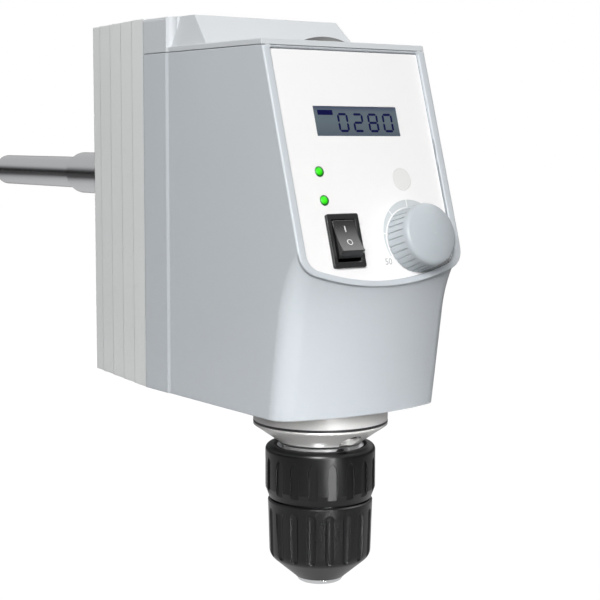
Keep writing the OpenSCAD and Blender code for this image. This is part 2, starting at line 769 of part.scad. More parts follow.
// Rocker with a hollow face between two sloping ends, on pins that turn in the bezel.
module switch_rocker() {
    face_half = 6.6;
    face_lift = 5.7;
    sag = 0.8;
    face_r = (face_half * face_half + sag * sag) / (2 * sag);
    end_half = rocker_hole_h / 2 - 0.45;
    color([0.08, 0.08, 0.09]) on_panel(switch_x, switch_s, rocker_pivot) rotate([-rocker_swing / 2, 0, 0]) {
        rotate([90, 0, 90]) linear_extrude(height = rocker_hole_w - 0.9, center = true) difference() {
            polygon([[-face_half, face_lift], [face_half, face_lift], [end_half, 1.7], [5, -3],
                [-5, -3], [-end_half, 1.7]]);
            translate([0, face_lift - sag + face_r]) circle(face_r, $fn = 360);
        }
        rotate([0, 90, 0]) cylinder(r = rocker_pin_r, h = 2 * rocker_pin_reach, center = true, $fn = 48);
    }
}

// Half section of the knob: tapered skirt, rounded rim and a shallow dome that meets the rim smoothly.
module knob_section() {
    rim_x = knob_top_r - knob_round;
    dome_z = knob_h - sqrt((knob_dome_r - knob_round) * (knob_dome_r - knob_round) - rim_x * rim_x);
    meet = knob_dome_r / (knob_dome_r - knob_round);
    meet_x = rim_x * meet;
    meet_z = dome_z + (knob_h - dome_z) * meet;
    polygon([[0, 0], [knob_r, 0], [knob_top_r, knob_h], [meet_x, meet_z], [0, meet_z]]);
    translate([rim_x, knob_h]) circle(knob_round);
    intersection() {
        square([meet_x, knob_h + knob_r]);
        translate([0, dome_z]) circle(knob_dome_r, $fn = 360);
    }
}

module speed_knob() {
    color([0.8, 0.83, 0.85]) on_panel(knob_x, knob_s, knob_foot) difference() {
        rotate_extrude($fn = 180) knob_section();
        for (i = [0 : knob_grooves - 1]) rotate(i * 360 / knob_grooves)
            along([knob_r - knob_groove_depth, 0, 0], [knob_top_r - knob_groove_depth, 0, knob_h])
                translate([-2, -knob_groove_w / 2, -1]) cube([2, knob_groove_w, knob_h + 0.1]);
        translate([0, 0, -1]) cylinder(r = pot_shaft_r, h = knob_h - 1);
        ring(knob_top_r - 2.4, pot_shaft_r + 2, -1, knob_h - 3);
        translate([0, 0, -1]) cylinder(r = pot_shaft_r + 2.1, h = 1.6);
    }
}

module knob_shaft() {
    color([0.75, 0.76, 0.78]) on_panel(knob_x, knob_s, 0) translate([0, 0, inner_lift - pot_depth + 1])
        cylinder(r = pot_shaft_r, h = knob_foot + knob_h - 2 - inner_lift + pot_depth - 1);
}

module potentiometer() {
    color([0.3, 0.36, 0.4]) on_panel(knob_x, knob_s, 0) difference() {
        union() {
            translate([0, 0, inner_lift - pot_depth]) cylinder(r = pot_r, h = pot_depth);
            translate([0, 0, inner_lift - eps]) cylinder(r = pot_shaft_r + 1.5, h = label_lift - inner_lift);
            translate([-3, -pot_r - 3, inner_lift - 4]) cube([6, 6, 2]);
        }
        translate([0, 0, inner_lift - pot_depth + 1 - slide_gap])
            cylinder(r = pot_shaft_r + run_gap, h = 2 * pot_depth);
    }
}

module pot_nut() {
    color([0.75, 0.76, 0.78]) on_panel(knob_x, knob_s, label_lift) difference() {
        cylinder(r = pot_shaft_r + 1.9, h = 0.5, $fn = 6);
        translate([0, 0, -1]) cylinder(r = pot_shaft_r + 0.4, h = 3);
    }
}

module control_board() {
    color([0.1, 0.4, 0.2]) {
        on_panel(0, 0, board_lift - board_t) linear_extrude(height = board_t)
            translate([-half_w + wall + 2, -control_s1])
                square([body_w - 2 * wall - 4, control_s1 - control_s0]);
        on_panel(mode_x, mode_s, board_lift - eps) translate([-3, -3, 0]) cube([6, 6, 2.5 - slide_gap]);
        for (x = [-1, 1]) on_panel(x * (lcd_w / 2 + 6.5), lcd_s - 8, board_lift - eps)
            translate([-2.5, -2, 0]) cube([5, 4, 1.8]);
        for (x = [0, half_w - 12]) on_panel(x, control_s1 - 6, board_lift - eps)
            translate([-2.5, -2, 0]) cube([5, 4, 1.8]);
    }
}

module power_board() {
    z_mid = (board_z0 + board_z1) / 2;
    face_y = board_y - board_t;
    transformer = [22, 20, 24];
    relay = [14, 12, 16];
    heat_sink = [3, 16, 24];
    can_r = 4.5;
    can_h = 18;
    color([0.1, 0.4, 0.2]) difference() {
        union() {
            translate([-board_half, face_y, board_z0]) cube([2 * board_half, board_t, board_z1 - board_z0]);
            translate([-transformer[0] / 2 - 4, face_y - transformer[1], board_z0 + 10])
                cube(transformer + [0, eps, 0]);
            translate([2 - board_post_x, face_y - relay[1], z_mid + 4]) cube(relay + [0, eps, 0]);
            for (x = [board_post_x - 8, board_post_x - 18])
                y_rod(x, z_mid + 12, can_r, face_y - can_h, face_y + eps);
            translate([board_post_x - 4, face_y - heat_sink[1], z_mid - 16]) cube(heat_sink + [0, eps, 0]);
        }
        for (x = [-1, 1], z = [board_low_z, board_high_z])
            y_rod(x * board_post_x, z, small_screw_r, face_y - 1.5, board_y + 1);
    }
}

module board_screws() {
    color([0.6, 0.6, 0.62]) for (x = [-1, 1], z = [board_low_z, board_high_z]) {
        y_rod(x * board_post_x, z, small_screw_r, board_y - board_t, board_y + 6);
        y_rod(x * board_post_x, z, 2 * small_screw_r - 0.2, board_y - board_t - 2, board_y - board_t);
    }
}

module support_rod() {
    start = back_y + socket_len;
    color([0.75, 0.76, 0.78]) {
        y_rod(0, rod_z, rod_r, start, start + rod_len);
        y_rod(0, rod_z, rod_tail_r, back_y - wall - socket_flange_t + 1, start + eps);
        translate([0, start + rod_len, rod_z]) rotate([-90, 0, 0]) cylinder(r1 = rod_r, r2 = rod_r - 1, h = 1);
    }
}

module rod_socket() {
    flange_y = back_y - wall - socket_flange_t;
    color([0.16, 0.16, 0.17]) difference() {
        union() {
            y_rod(0, rod_z, socket_r, flange_y, back_y + socket_len);
            y_rod(0, rod_z, socket_flange_r, flange_y, back_y - wall);
        }
        y_rod(0, rod_z, rod_tail_r, flange_y - 1, back_y + socket_len + 1);
        for (a = [45 : 90 : 315]) y_rod(socket_screw_ring * cos(a), rod_z + socket_screw_ring * sin(a),
            small_screw_r, flange_y - 1, back_y);
        translate([0, back_y + socket_len - 12, rod_z - socket_r - 1])
            cylinder(r = small_screw_r, h = socket_r, $fn = 48);
    }
}

module socket_screws() {
    color([0.6, 0.6, 0.62]) for (a = [45 : 90 : 315]) {
        x = socket_screw_ring * cos(a);
        z = rod_z + socket_screw_ring * sin(a);
        y_rod(x, z, small_screw_r, back_y - wall - socket_flange_t, back_y);
        y_rod(x, z, 2 * small_screw_r - 0.2, back_y, back_y + 1.6);
    }
}

module rod_set_screw() {
    y = back_y + socket_len - 12;
    color([0.3, 0.3, 0.32]) difference() {
        translate([0, y, rod_z - socket_r + 0.2])
            cylinder(r = small_screw_r, h = socket_r - rod_tail_r - 0.2, $fn = 48);
        translate([0, y, rod_z - socket_r]) cylinder(r = small_screw_r / 2, h = 1.5, $fn = 6);
    }
}

module power_inlet() {
    color([0.08, 0.08, 0.09]) translate([0, back_y, inlet_z]) rotate([-90, 0, 0]) difference() {
        union() {
            linear_extrude(height = inlet_lip) round_rect(inlet_flange_w, inlet_flange_h, 4);
            translate([0, 0, -inlet_depth]) linear_extrude(height = inlet_depth + eps)
                square([inlet_body_w, inlet_body_h], center = true);
        }
        translate([0, 0, inlet_lip - inlet_cave]) linear_extrude(height = inlet_cave + 1)
            polygon([[-12, 8], [-12, -4], [-8, -8], [8, -8], [12, -4], [12, 8]]);
        for (x = [-1, 1]) translate([x * inlet_pitch / 2, 0, -1]) cylinder(r = small_screw_r, h = 5, $fn = 48);
    }
}

module inlet_pins() {
    color([0.8, 0.78, 0.7]) for (p = [[-7, -2], [0, 2], [7, -2]])
        translate([p[0] - 1, back_y + inlet_lip - inlet_cave, inlet_z + p[1] - 2]) cube([2, 12, 4]);
}

module inlet_screws() {
    face_y = back_y + inlet_lip;
    color([0.6, 0.6, 0.62]) for (x = [-1, 1]) {
        y_rod(x * inlet_pitch / 2, inlet_z, small_screw_r, back_y - wall, face_y);
        y_rod(x * inlet_pitch / 2, inlet_z, 2 * small_screw_r - 0.2, face_y, face_y + 1.6);
    }
}

module spindle_housing() {
    color([0.78, 0.78, 0.77]) difference() {
        union() {
            translate([0, 0, -collar_h]) cylinder(r = collar_r, h = collar_h, $fn = 180);
            translate([0, 0, -collar_h - groove_w]) cylinder(r = collar_r - 1.2, h = groove_w + eps, $fn = 180);
            cylinder(r = tube_r, h = tube_top);
        }
        translate([0, 0, cap_top - 2]) cylinder(r = spindle_r + 1.5, h = spindle_top);
        translate([0, 0, cap_top - 1]) cylinder(r = bearing_r, h = bearing_w + 1);
        translate([0, 0, tube_top - bearing_w]) cylinder(r = bearing_r, h = bearing_w + 1);
        for (a = flange_screw_angles) rotate(a) translate([collar_r - 4, 0, -flange_screw_len])
            cylinder(r = small_screw_r, h = flange_screw_len + 1, $fn = 48);
        for (i = [0 : pocket_count - 1]) rotate(cap_screw_turn + i * 360 / pocket_count)
            translate([pocket_ring, 0, cap_top - 1]) cylinder(r = small_screw_r, h = 6.5, $fn = 48);
    }
}

module flange_screws() {
    color([0.6, 0.6, 0.62]) for (a = flange_screw_angles) rotate(a) translate([collar_r - 4, 0, 0]) {
        translate([0, 0, -flange_screw_len]) cylinder(r = small_screw_r, h = flange_screw_len + wall, $fn = 48);
        translate([0, 0, wall]) cylinder(r = 2 * small_screw_r - 0.2, h = 2.4, $fn = 48);
    }
}

module bearing_cap() {
    color([0.8, 0.8, 0.79]) difference() {
        rotate_extrude($fn = 180) polygon([[spindle_r + 1.5, -cap_bottom], [cap_r, -cap_bottom],
            [collar_r - 0.3, collar_lip_z - 0.3], [collar_r, collar_lip_z], [collar_r - 0.3, cap_top],
            [spindle_r + 1.5, cap_top]]);
        for (i = [0 : pocket_count - 1]) rotate(cap_screw_turn + i * 360 / pocket_count)
            translate([pocket_ring, 0, 0]) {
                translate([0, 0, -cap_bottom - 5]) cylinder(r = pocket_r, h = 5 + cap_bottom + cap_top - 1.4);
                translate([0, 0, -cap_bottom]) cylinder(r = small_screw_r, h = cap_bottom, $fn = 48);
            }
    }
}

module cap_screws() {
    color([0.25, 0.25, 0.27]) for (i = [0 : pocket_count - 1]) rotate(cap_screw_turn + i * 360 / pocket_count)
        translate([pocket_ring, 0, cap_top - 1.4]) difference() {
            union() {
                cylinder(r = small_screw_r, h = 6.4, $fn = 48);
                translate([0, 0, -2.6]) cylinder(r = 2 * small_screw_r - 0.2, h = 2.6, $fn = 48);
            }
            translate([0, 0, -2.7]) cylinder(r = small_screw_r, h = 1.6, $fn = 6);
        }
}

// Ball bearing drawn as its outer ring with two shields that clear the shaft.
module bearing(z) {
    color([0.7, 0.71, 0.73]) translate([0, 0, z]) difference() {
        cylinder(r = bearing_r, h = bearing_w);
        translate([0, 0, -1]) cylinder(r = spindle_r + run_gap, h = bearing_w + 2);
        for (z1 = [-1, bearing_w - 0.4]) translate([0, 0, z1]) ring(bearing_r - 2, spindle_r + 2, 0, 1.4);
    }
}

module lower_bearing() { bearing(cap_top); }
module upper_bearing() { bearing(tube_top - bearing_w); }

module motor_plate() {
    color([0.72, 0.73, 0.74]) translate([0, 0, plate_z]) difference() {
        linear_extrude(height = plate_t) difference() {
            union() {
                circle(tube_r);
                translate([-pillar_x - pillar_r - 1, pillar_y - pillar_r - 1])
                    square([2 * (pillar_x + pillar_r + 1), motor_y + 18 - pillar_y]);
                translate([-tube_r, 0]) square([2 * tube_r, pillar_y]);
            }
            circle(spindle_r + 2.5);
            translate([0, motor_y]) circle(11);
        }
        for (x = [-1, 1]) translate([x * pillar_x, pillar_y, -1])
            cylinder(r = small_screw_r, h = plate_t + 2, $fn = 48);
        for (a = [45 : 90 : 315]) translate([0, motor_y, -1]) rotate(a) translate([motor_screw_ring, 0, 0])
            cylinder(r = small_screw_r, h = plate_t + 2, $fn = 48);
        for (a = [90, 210, 330]) rotate(a) translate([tube_r - 2.4, 0, -1])
            cylinder(r = 1, h = plate_t + 2, $fn = 48);
    }
}

module plate_pillars() {
    color([0.75, 0.75, 0.76]) for (x = [-1, 1]) translate([x * pillar_x, pillar_y, wall]) difference() {
        cylinder(r = pillar_r, h = plate_z - wall, $fn = 6);
        translate([0, 0, plate_z - wall - 8]) cylinder(r = small_screw_r, h = 9, $fn = 48);
    }
}

module plate_screws() {
    color([0.6, 0.6, 0.62]) for (x = [-1, 1]) translate([x * pillar_x, pillar_y, plate_z]) {
        translate([0, 0, -6]) cylinder(r = small_screw_r, h = 6 + plate_t, $fn = 48);
        translate([0, 0, plate_t]) cylinder(r = 2 * small_screw_r - 0.2, h = 2, $fn = 48);
    }
}

module motor_stator() {
    color([0.45, 0.46, 0.48]) translate([0, motor_y, plate_z - motor_h]) difference() {
        union() {
            cylinder(r = motor_r, h = motor_h);
            for (z = [6 : 6 : motor_h - 8]) translate([0, 0, z]) cylinder(r = motor_r + 0.6, h = 3);
        }
        translate([0, 0, 3]) cylinder(r = stator_bore, h = motor_h - 6);
        cylinder(r = shaft_r + run_gap, h = motor_h + 1);
        for (a = [45 : 90 : 315]) rotate(a) translate([motor_screw_ring, 0, motor_h - 6])
            cylinder(r = small_screw_r, h = 7, $fn = 48);
    }
}

module motor_screws() {
    color([0.6, 0.6, 0.62]) for (a = [45 : 90 : 315]) translate([0, motor_y, plate_z]) rotate(a)
        translate([motor_screw_ring, 0, 0]) {
            translate([0, 0, -5]) cylinder(r = small_screw_r, h = 5 + plate_t, $fn = 48);
            translate([0, 0, plate_t]) cylinder(r = 2 * small_screw_r - 0.2, h = 2, $fn = 48);
        }
}

module motor_rotor() {
    color([0.6, 0.6, 0.62]) translate([0, motor_y, 0]) {
        translate([0, 0, motor_low + 1]) cylinder(r = shaft_r, h = pulley_z + pulley_w - motor_low);
        translate([0, 0, motor_low + 5]) cylinder(r = stator_bore - rotor_gap, h = motor_h - 10);
    }
}

// Grooved pulley with two flanges; the belt runs at the given radius.
module pulley(r, hub) {
    rotate_extrude() difference() {
        translate([hub, 0]) square([r + 1.5 - hub, pulley_w]);
        translate([r - 0.1, 1.5]) square([5, belt_w]);
        for (i = [0 : 3]) translate([r - 0.1, 1.5 + belt_w * (i + 0.5) / 4])
            polygon([[0.1, -0.7], [0.1, 0.7], [-0.9, 0.15], [-0.9, -0.15]]);
    }
}

module motor_pulley() {
    color([0.7, 0.71, 0.73]) translate([0, motor_y, pulley_z]) pulley(motor_belt_r, shaft_r);
}

module spindle_pulley() {
    color([0.7, 0.71, 0.73]) translate([0, 0, pulley_z]) pulley(pulley_r, spindle_r);
}

// Outline of the belt run at a distance from the pulleys' belt radius.
module belt_outline(off) {
    a = belt_angle;
    big = pulley_r + off;
    small = motor_belt_r + off;
    circle(big);
    translate([0, motor_y]) circle(small);
    polygon([[-big * cos(a), big * sin(a)], [big * cos(a), big * sin(a)],
        [small * cos(a), motor_y + small * sin(a)], [-small * cos(a), motor_y + small * sin(a)]]);
}

module drive_belt() {
    color([0.1, 0.1, 0.1]) translate([0, 0, pulley_z + 1.5 + slide_gap])
        linear_extrude(height = belt_w - 2 * slide_gap) difference() {
            belt_outline(belt_t);
            belt_outline(0.15);
        }
}

module passage_tube() {
    color([0.5, 0.53, 0.55]) {
        ring(passage_r + passage_wall, passage_r, passage_low, body_h);
        ring(passage_r + passage_wall + 3, passage_r + passage_wall - eps, seam_z - passage_flange_t, seam_z);
    }
}

module passage_cap() {
    dome_r = (cap_dome_r * cap_dome_r + cap_dome_h * cap_dome_h) / (2 * cap_dome_h);
    color([0.08, 0.08, 0.09]) translate([0, 0, body_h]) {
        intersection() {
            translate([0, 0, cap_dome_h - dome_r]) sphere(dome_r, $fn = 180);
            cylinder(r = cap_dome_r, h = cap_dome_h + 1);
        }
        translate([0, 0, -plug_len]) cylinder(r = passage_r - run_gap, h = plug_len + eps);
    }
}

module spindle() {
    color([0.75, 0.76, 0.78]) rotate_extrude() polygon([[bore_r, spindle_low], [spindle_r, spindle_low],
        [spindle_r, pulley_z + pulley_w + 5], [spindle_r - 0.8, pulley_z + pulley_w + 5],
        [spindle_r - 0.8, spindle_top], [bore_r, spindle_top]]);
}

module pulley_ring() {
    color([0.4, 0.4, 0.42]) difference() {
        ring(spindle_r + 3, spindle_r, pulley_z + pulley_w, pulley_z + pulley_w + 4);
        translate([0, 0, pulley_z + pulley_w + 2]) rotate([0, 90, 0]) cylinder(r = 1, h = 20, $fn = 48);
    }
}

// Greatest distance of the leaning jaw rods from the spindle axis at a height.
function flank(z) = jaw_axis_r + jaw_r / cos(jaw_angle) + (z - jaw_tip_z) * tan(jaw_angle);

// One leaning jaw rod between two heights.
module jaw_rod(r, low, high) {
    translate([jaw_axis_r, 0, jaw_tip_z]) rotate([0, jaw_angle, 0])
        translate([0, 0, (low - jaw_tip_z) / cos(jaw_angle)])
            cylinder(r = r, h = (high - low) / cos(jaw_angle));
}

module chuck_body() {
    color([0.72, 0.73, 0.75]) difference() {
        rotate_extrude($fn = 120) polygon([[spindle_r, -core_top], [core_r - 1, -core_top],
            [core_r, -core_top - 1], [core_r, nut_top + 1.5], [flank(nut_top) - 0.4, nut_top + 0.5],
            [nose_r, -sleeve_end + 1], [nose_r, -chuck_end + 1], [nose_r - 0.3, -chuck_end + 0.4],
            [nose_r - 1, -chuck_end], [jaw_face_r, -chuck_end], [jaw_face_r, spindle_low],
            [spindle_r, spindle_low]]);
        for (i = [0 : 2]) rotate(i * 120) jaw_rod(jaw_r + run_gap, -chuck_end - 10, jaw_top_z + 1);
    }
}

// Flat-bottomed flute with a pointed top, cut from the side of the rear sleeve.
module pointed_flute() {
    arch = 1.2 * flute_w;
    rise = sqrt(arch * arch - (arch - flute_w / 2) * (arch - flute_w / 2));
    foot = -sleeve_gap_z - 3;
    shoulder = -rear_sleeve_top - flute_top - rise;
    side = [for (i = [0 : 4]) let (h = rise * i / 4)
        [flute_w / 2 - arch + sqrt(arch * arch - h * h), shoulder + h]];
    translate([rear_sleeve_r - flute_depth, 0, 0]) rotate([90, 0, 90]) linear_extrude(height = 5)
        polygon(concat([[-flute_w / 2, foot], [flute_w / 2, foot]], side,
            [for (i = [3 : -1 : 0]) [-side[i][0], side[i][1]]]));
}

module chuck_rear_sleeve() {
    low = -sleeve_gap_z + sleeve_gap / 2;
    top = -rear_sleeve_top;
    round_r = 2.4;
    shoulder = [for (a = [0 : 15 : 90]) [rear_sleeve_r - round_r * (1 - sin(a)), top - round_r * (1 - cos(a))]];
    color([0.09, 0.09, 0.1]) difference() {
        rotate_extrude($fn = 180) difference() {
            polygon(concat([[core_r, top]], shoulder,
                [[rear_sleeve_r, low + 4.4], [rear_sleeve_r - 1.6, low], [core_r, low]]));
            polygon([[0, top + 1], [core_r + 1.6, top + 1], [core_r, top - 2.6], [0, top - 2.6]]);
        }
        for (i = [0 : flute_count - 1]) rotate(-133.8 + i * 360 / flute_count) pointed_flute();
    }
}

// Round-ended groove, cut from the side of the front sleeve.
module round_flute() {
    groove_r = (flute_w * flute_w / 4 + front_flute_depth * front_flute_depth) / (2 * front_flute_depth);
    top = -sleeve_gap_z - 3.4 - flute_w / 2;
    low = -nose_z - 3.4 + flute_w / 2;
    taper = (front_sleeve_r - front_low_r) / (nose_z - sleeve_gap_z);
    function groove_axis(z) = front_sleeve_r - taper * (-z - sleeve_gap_z) + groove_r - front_flute_depth;
    along([groove_axis(low), 0, low], [groove_axis(top), 0, top])
        cylinder(r = groove_r, h = top - low, $fn = 48);
    for (z = [top, low]) translate([groove_axis(z), 0, z]) sphere(groove_r, $fn = 48);
}

module chuck_front_sleeve() {
    high = -sleeve_gap_z - sleeve_gap / 2;
    core_run = core_r + run_gap;
    nose_round = 5;
    nose_sweep = 50;
    shoulder = [for (i = [0 : 5]) let (a = nose_sweep * i / 5)
        [front_low_r - nose_round * (1 - cos(a)), -nose_z - nose_round * sin(a)]];
    mouth = nose_r + 0.35;
    color([0.09, 0.09, 0.1]) difference() {
        rotate_extrude($fn = 180) polygon(concat([[core_run, high], [front_sleeve_r - 0.6, high],
            [front_sleeve_r, high - 0.6]], shoulder, [[mouth + 1, -sleeve_end + 0.5], [mouth + 0.5, -sleeve_end],
            [mouth, -sleeve_end], [flank(nut_low) + slide_gap, nut_low],
            [nut_r, nut_low], [nut_r, nut_top], [core_run, nut_top]]));
        for (i = [0 : flute_count - 1]) rotate(-116 + i * 360 / flute_count) round_flute();
    }
}

module chuck_nut() {
    color([0.6, 0.6, 0.62]) rotate_extrude($fn = 120) polygon([
        [flank(nut_low) + 0.1, nut_low], [nut_r, nut_low], [nut_r, nut_top], [flank(nut_top) + 0.1, nut_top]]);
}

// One jaw: a leaning round rod with a narrow grip face and two flats that meet its neighbours.
module jaw(i) {
    apex = jaw_close + 0.1;
    color([0.55, 0.56, 0.58]) rotate(i * 120) intersection() {
        jaw_rod(jaw_r, jaw_tip_z - 4, jaw_top_z);
        translate([0, 0, -far / 2]) linear_extrude(height = far / 2) polygon([
            [jaw_face_r, -(jaw_face_r - apex) * wedge_tan], [20, -(20 - apex) * wedge_tan],
            [20, (20 - apex) * wedge_tan], [jaw_face_r, (jaw_face_r - apex) * wedge_tan]]);
        translate([0, -jaw_r - 1, jaw_tip_z]) cube([core_r + 10, 2 * jaw_r + 2, -jaw_tip_z]);
    }
}

module jaw_1() { jaw(0); }
module jaw_2() { jaw(1); }
module jaw_3() { jaw(2); }

in_frame() main_housing();
in_frame() top_cover();
in_frame() rear_cover();
in_frame() top_cover_screws();
in_frame() rear_cover_screws();
in_frame() control_panel();
in_frame() lcd_window();
in_frame() lcd_module();
in_frame() upper_led();
in_frame() lower_led();
in_frame() mode_button();
in_frame() switch_bezel();
in_frame() switch_rocker();
in_frame() speed_knob();
in_frame() knob_shaft();
in_frame() potentiometer();
in_frame() pot_nut();
in_frame() control_board();
in_frame() power_board();
in_frame() board_screws();
in_frame() support_rod();
in_frame() rod_socket();
in_frame() socket_screws();
in_frame() rod_set_screw();
in_frame() power_inlet();
in_frame() inlet_pins();
in_frame() inlet_screws();
in_frame() spindle_housing();
in_frame() flange_screws();
in_frame() bearing_cap();
in_frame() cap_screws();
in_frame() lower_bearing();
in_frame() upper_bearing();
in_frame() motor_plate();
in_frame() plate_pillars();
in_frame() plate_screws();
in_frame() motor_stator();
in_frame() motor_screws();
in_frame() motor_rotor();
in_frame() motor_pulley();
in_frame() drive_belt();
in_frame() passage_tube();
in_frame() passage_cap();
in_frame() spindle();
in_frame() spindle_pulley();
in_frame() pulley_ring();
in_frame() chuck_body();
in_frame() chuck_rear_sleeve();
in_frame() chuck_front_sleeve();
in_frame() chuck_nut();
in_frame() jaw_1();
in_frame() jaw_2();
in_frame() jaw_3();
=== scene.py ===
"""Dresses the overhead stirrer: prints, display digits, finishes for every piece, and the studio.

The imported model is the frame. Every size is in metres in the model's own frame: +Z runs up the
spindle, +Y runs back along the support rod, and +X is to the right seen from the panel.
"""

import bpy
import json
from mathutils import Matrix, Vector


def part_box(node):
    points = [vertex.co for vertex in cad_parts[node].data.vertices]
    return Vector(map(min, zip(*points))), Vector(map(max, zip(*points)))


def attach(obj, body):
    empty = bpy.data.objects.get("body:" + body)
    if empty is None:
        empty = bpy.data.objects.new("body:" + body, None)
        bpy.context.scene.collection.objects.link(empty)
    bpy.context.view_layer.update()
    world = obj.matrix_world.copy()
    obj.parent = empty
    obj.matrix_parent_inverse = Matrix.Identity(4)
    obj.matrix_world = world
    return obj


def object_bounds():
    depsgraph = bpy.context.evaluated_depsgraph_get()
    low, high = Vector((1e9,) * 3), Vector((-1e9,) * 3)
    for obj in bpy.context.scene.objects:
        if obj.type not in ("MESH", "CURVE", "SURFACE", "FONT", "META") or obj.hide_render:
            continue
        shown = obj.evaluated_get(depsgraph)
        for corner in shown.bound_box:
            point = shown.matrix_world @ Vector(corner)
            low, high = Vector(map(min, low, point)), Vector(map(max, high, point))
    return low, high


bl_info = {
    "name": "Overhead stirrer dresser",
    "version": (1, 0, 0),
    "blender": (4, 5, 0),
    "location": "View3D > Sidebar > Stirrer",
    "description": "Adds the prints, finishes and studio of a laboratory overhead stirrer",
    "category": "Object",
}

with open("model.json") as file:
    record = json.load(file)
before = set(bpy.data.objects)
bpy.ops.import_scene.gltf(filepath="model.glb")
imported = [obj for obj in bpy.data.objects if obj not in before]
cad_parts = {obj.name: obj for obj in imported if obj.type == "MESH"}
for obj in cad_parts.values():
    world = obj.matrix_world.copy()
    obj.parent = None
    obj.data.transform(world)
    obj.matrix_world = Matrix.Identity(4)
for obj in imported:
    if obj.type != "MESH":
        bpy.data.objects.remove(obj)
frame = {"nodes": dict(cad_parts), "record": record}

import json
import math

import bpy
import numpy as np
from mathutils import Matrix, Vector

CAD_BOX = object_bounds()
JOINTS = {joint["name"]: joint for joint in frame["record"]["behaviour"]["joints"]}

# The panel plane, read from the knob's joint: its axis points into the panel.
PANEL_OUT = -Vector(JOINTS["speed_knob_turn"]["axis"])
PANEL_ACROSS = Vector((1.0, 0.0, 0.0))
PANEL_UP = PANEL_OUT.cross(PANEL_ACROSS)
PANEL_AXES = np.array([PANEL_ACROSS, PANEL_UP, PANEL_OUT])
KNOB_CENTRE = Vector(JOINTS["speed_knob_turn"]["pos_m"])
# The label's face lies this deep below the knob joint's place, in metres.
LABEL_DEPTH = 0.0009
# In millimetres on the panel: its length, the radius of its lower edge, half its width, and the knob's
# axis below its top edge.
PANEL_LENGTH = 98.504
PANEL_ARC_RADIUS = 102.82
PANEL_HALF_WIDTH = 40.0
KNOB_DOWN = 0.8182 * PANEL_LENGTH
MM = 0.001
# A print stands this far off the label, in millimetres, so that the two faces never share a plane.
PRINT_LIFT = 0.002


def centre_of(node):
    """Middle of a CAD node's box."""
    low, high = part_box(node)
    return (low + high) / 2


def panel_place(across, up, out=0.0):
    """Place on the panel, in millimetres across and up from the knob's axis and out of the label."""
    return (KNOB_CENTRE + PANEL_ACROSS * across * MM + PANEL_UP * up * MM
            + PANEL_OUT * (out * MM - LABEL_DEPTH))


def on_plane(points, origin, axes=PANEL_AXES):
    """Moves local points, in millimetres, to an origin and three axes given as rows."""
    return np.asarray(points, float) @ (axes * MM) + np.array(origin)


def add_mesh(name, points, faces, finish, body, smooth=False):
    """Makes one mesh object at the origin, gives it a finish and lets it ride on a body."""
    mesh = bpy.data.meshes.new(name)
    mesh.from_pydata(np.asarray(points, float).tolist(), [], [list(map(int, face)) for face in faces])
    mesh.update()
    mesh.validate()
    mesh.polygons.foreach_set("use_smooth", np.full(len(mesh.polygons), smooth))
    piece = bpy.data.objects.new(name, mesh)
    bpy.context.scene.collection.objects.link(piece)
    mesh.materials.append(finish)
    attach(piece, body)
    return piece


def grid_faces(rows, columns, close_rows=False, close_columns=False):
    """Quads of a grid of rows by columns points, wrapped round where asked."""
    i = np.arange(rows if close_rows else rows - 1)
    j = np.arange(columns if close_columns else columns - 1)
    a, b = (m.ravel() for m in np.meshgrid(i, j, indexing="ij"))
    c, d = (a + 1) % rows, (b + 1) % columns
    return np.stack([a * columns + b, c * columns + b, c * columns + d, a * columns + d], axis=1)


def slab(outline, thickness):
    """Closed flat plate: the outline at height 0 and again at the thickness, joined by side quads."""
    outline = np.asarray(outline, float)
    n = len(outline)
    low = np.column_stack([outline, np.zeros(n)])
    high = np.column_stack([outline, np.full(n, thickness)])
    i = np.arange(n)
    sides = np.stack([i, (i + 1) % n, (i + 1) % n + n, i + n], axis=1).tolist()
    return np.vstack([low, high]), [list(range(n))[::-1], list(range(n, 2 * n))] + sides


def join_shapes(shapes):
    """One list of points and faces out of several."""
    points, faces, start = [], [], 0
    for shape_points, shape_faces in shapes:
        points.append(np.asarray(shape_points, float))
        faces += [[int(k) + start for k in face] for face in shape_faces]
        start += len(shape_points)
    return np.vstack(points), faces


def linear(red, green, blue):
    """Linear colour of an 8-bit screen colour: the usual two-part curve."""
    value = np.array([red, green, blue], float) / 255
    curve = np.where(value <= 0.04045, value / 12.92, ((value + 0.055) / 1.055) ** 2.4)
    return tuple(curve.tolist()) + (1.0,)


class Wire:
    """One output of a node tree. Arithmetic on it adds Math nodes."""

    def __init__(self, tree, socket):
        self.tree, self.socket = tree, socket

    def maths(self, operation, *others, first=True):
        node = self.tree.nodes.new("ShaderNodeMath")
        node.operation = operation
        terms = (self, *others) if first else (*others, self)
        for slot, term in zip(node.inputs, terms):
            connect(self.tree, term, slot)
        return Wire(self.tree, node.outputs[0])

    def __add__(self, other):
        return self.maths("ADD", other)

    def __sub__(self, other):
        return self.maths("SUBTRACT", other)

    def __rsub__(self, other):
        return self.maths("SUBTRACT", other, first=False)

    def __mul__(self, other):
        return self.maths("MULTIPLY", other)

    def __truediv__(self, other):
        return self.maths("DIVIDE", other)

    def __pow__(self, other):
        return self.maths("POWER", other)

    def __gt__(self, other):
        return self.maths("GREATER_THAN", other)

    def __abs__(self):
        return self.maths("ABSOLUTE")


def connect(tree, term, slot):
    """Links a wire to a socket, or sets a plain value on it."""
    if isinstance(term, Wire):
        tree.links.new(term.socket, slot)
    else:
        slot.default_value = term


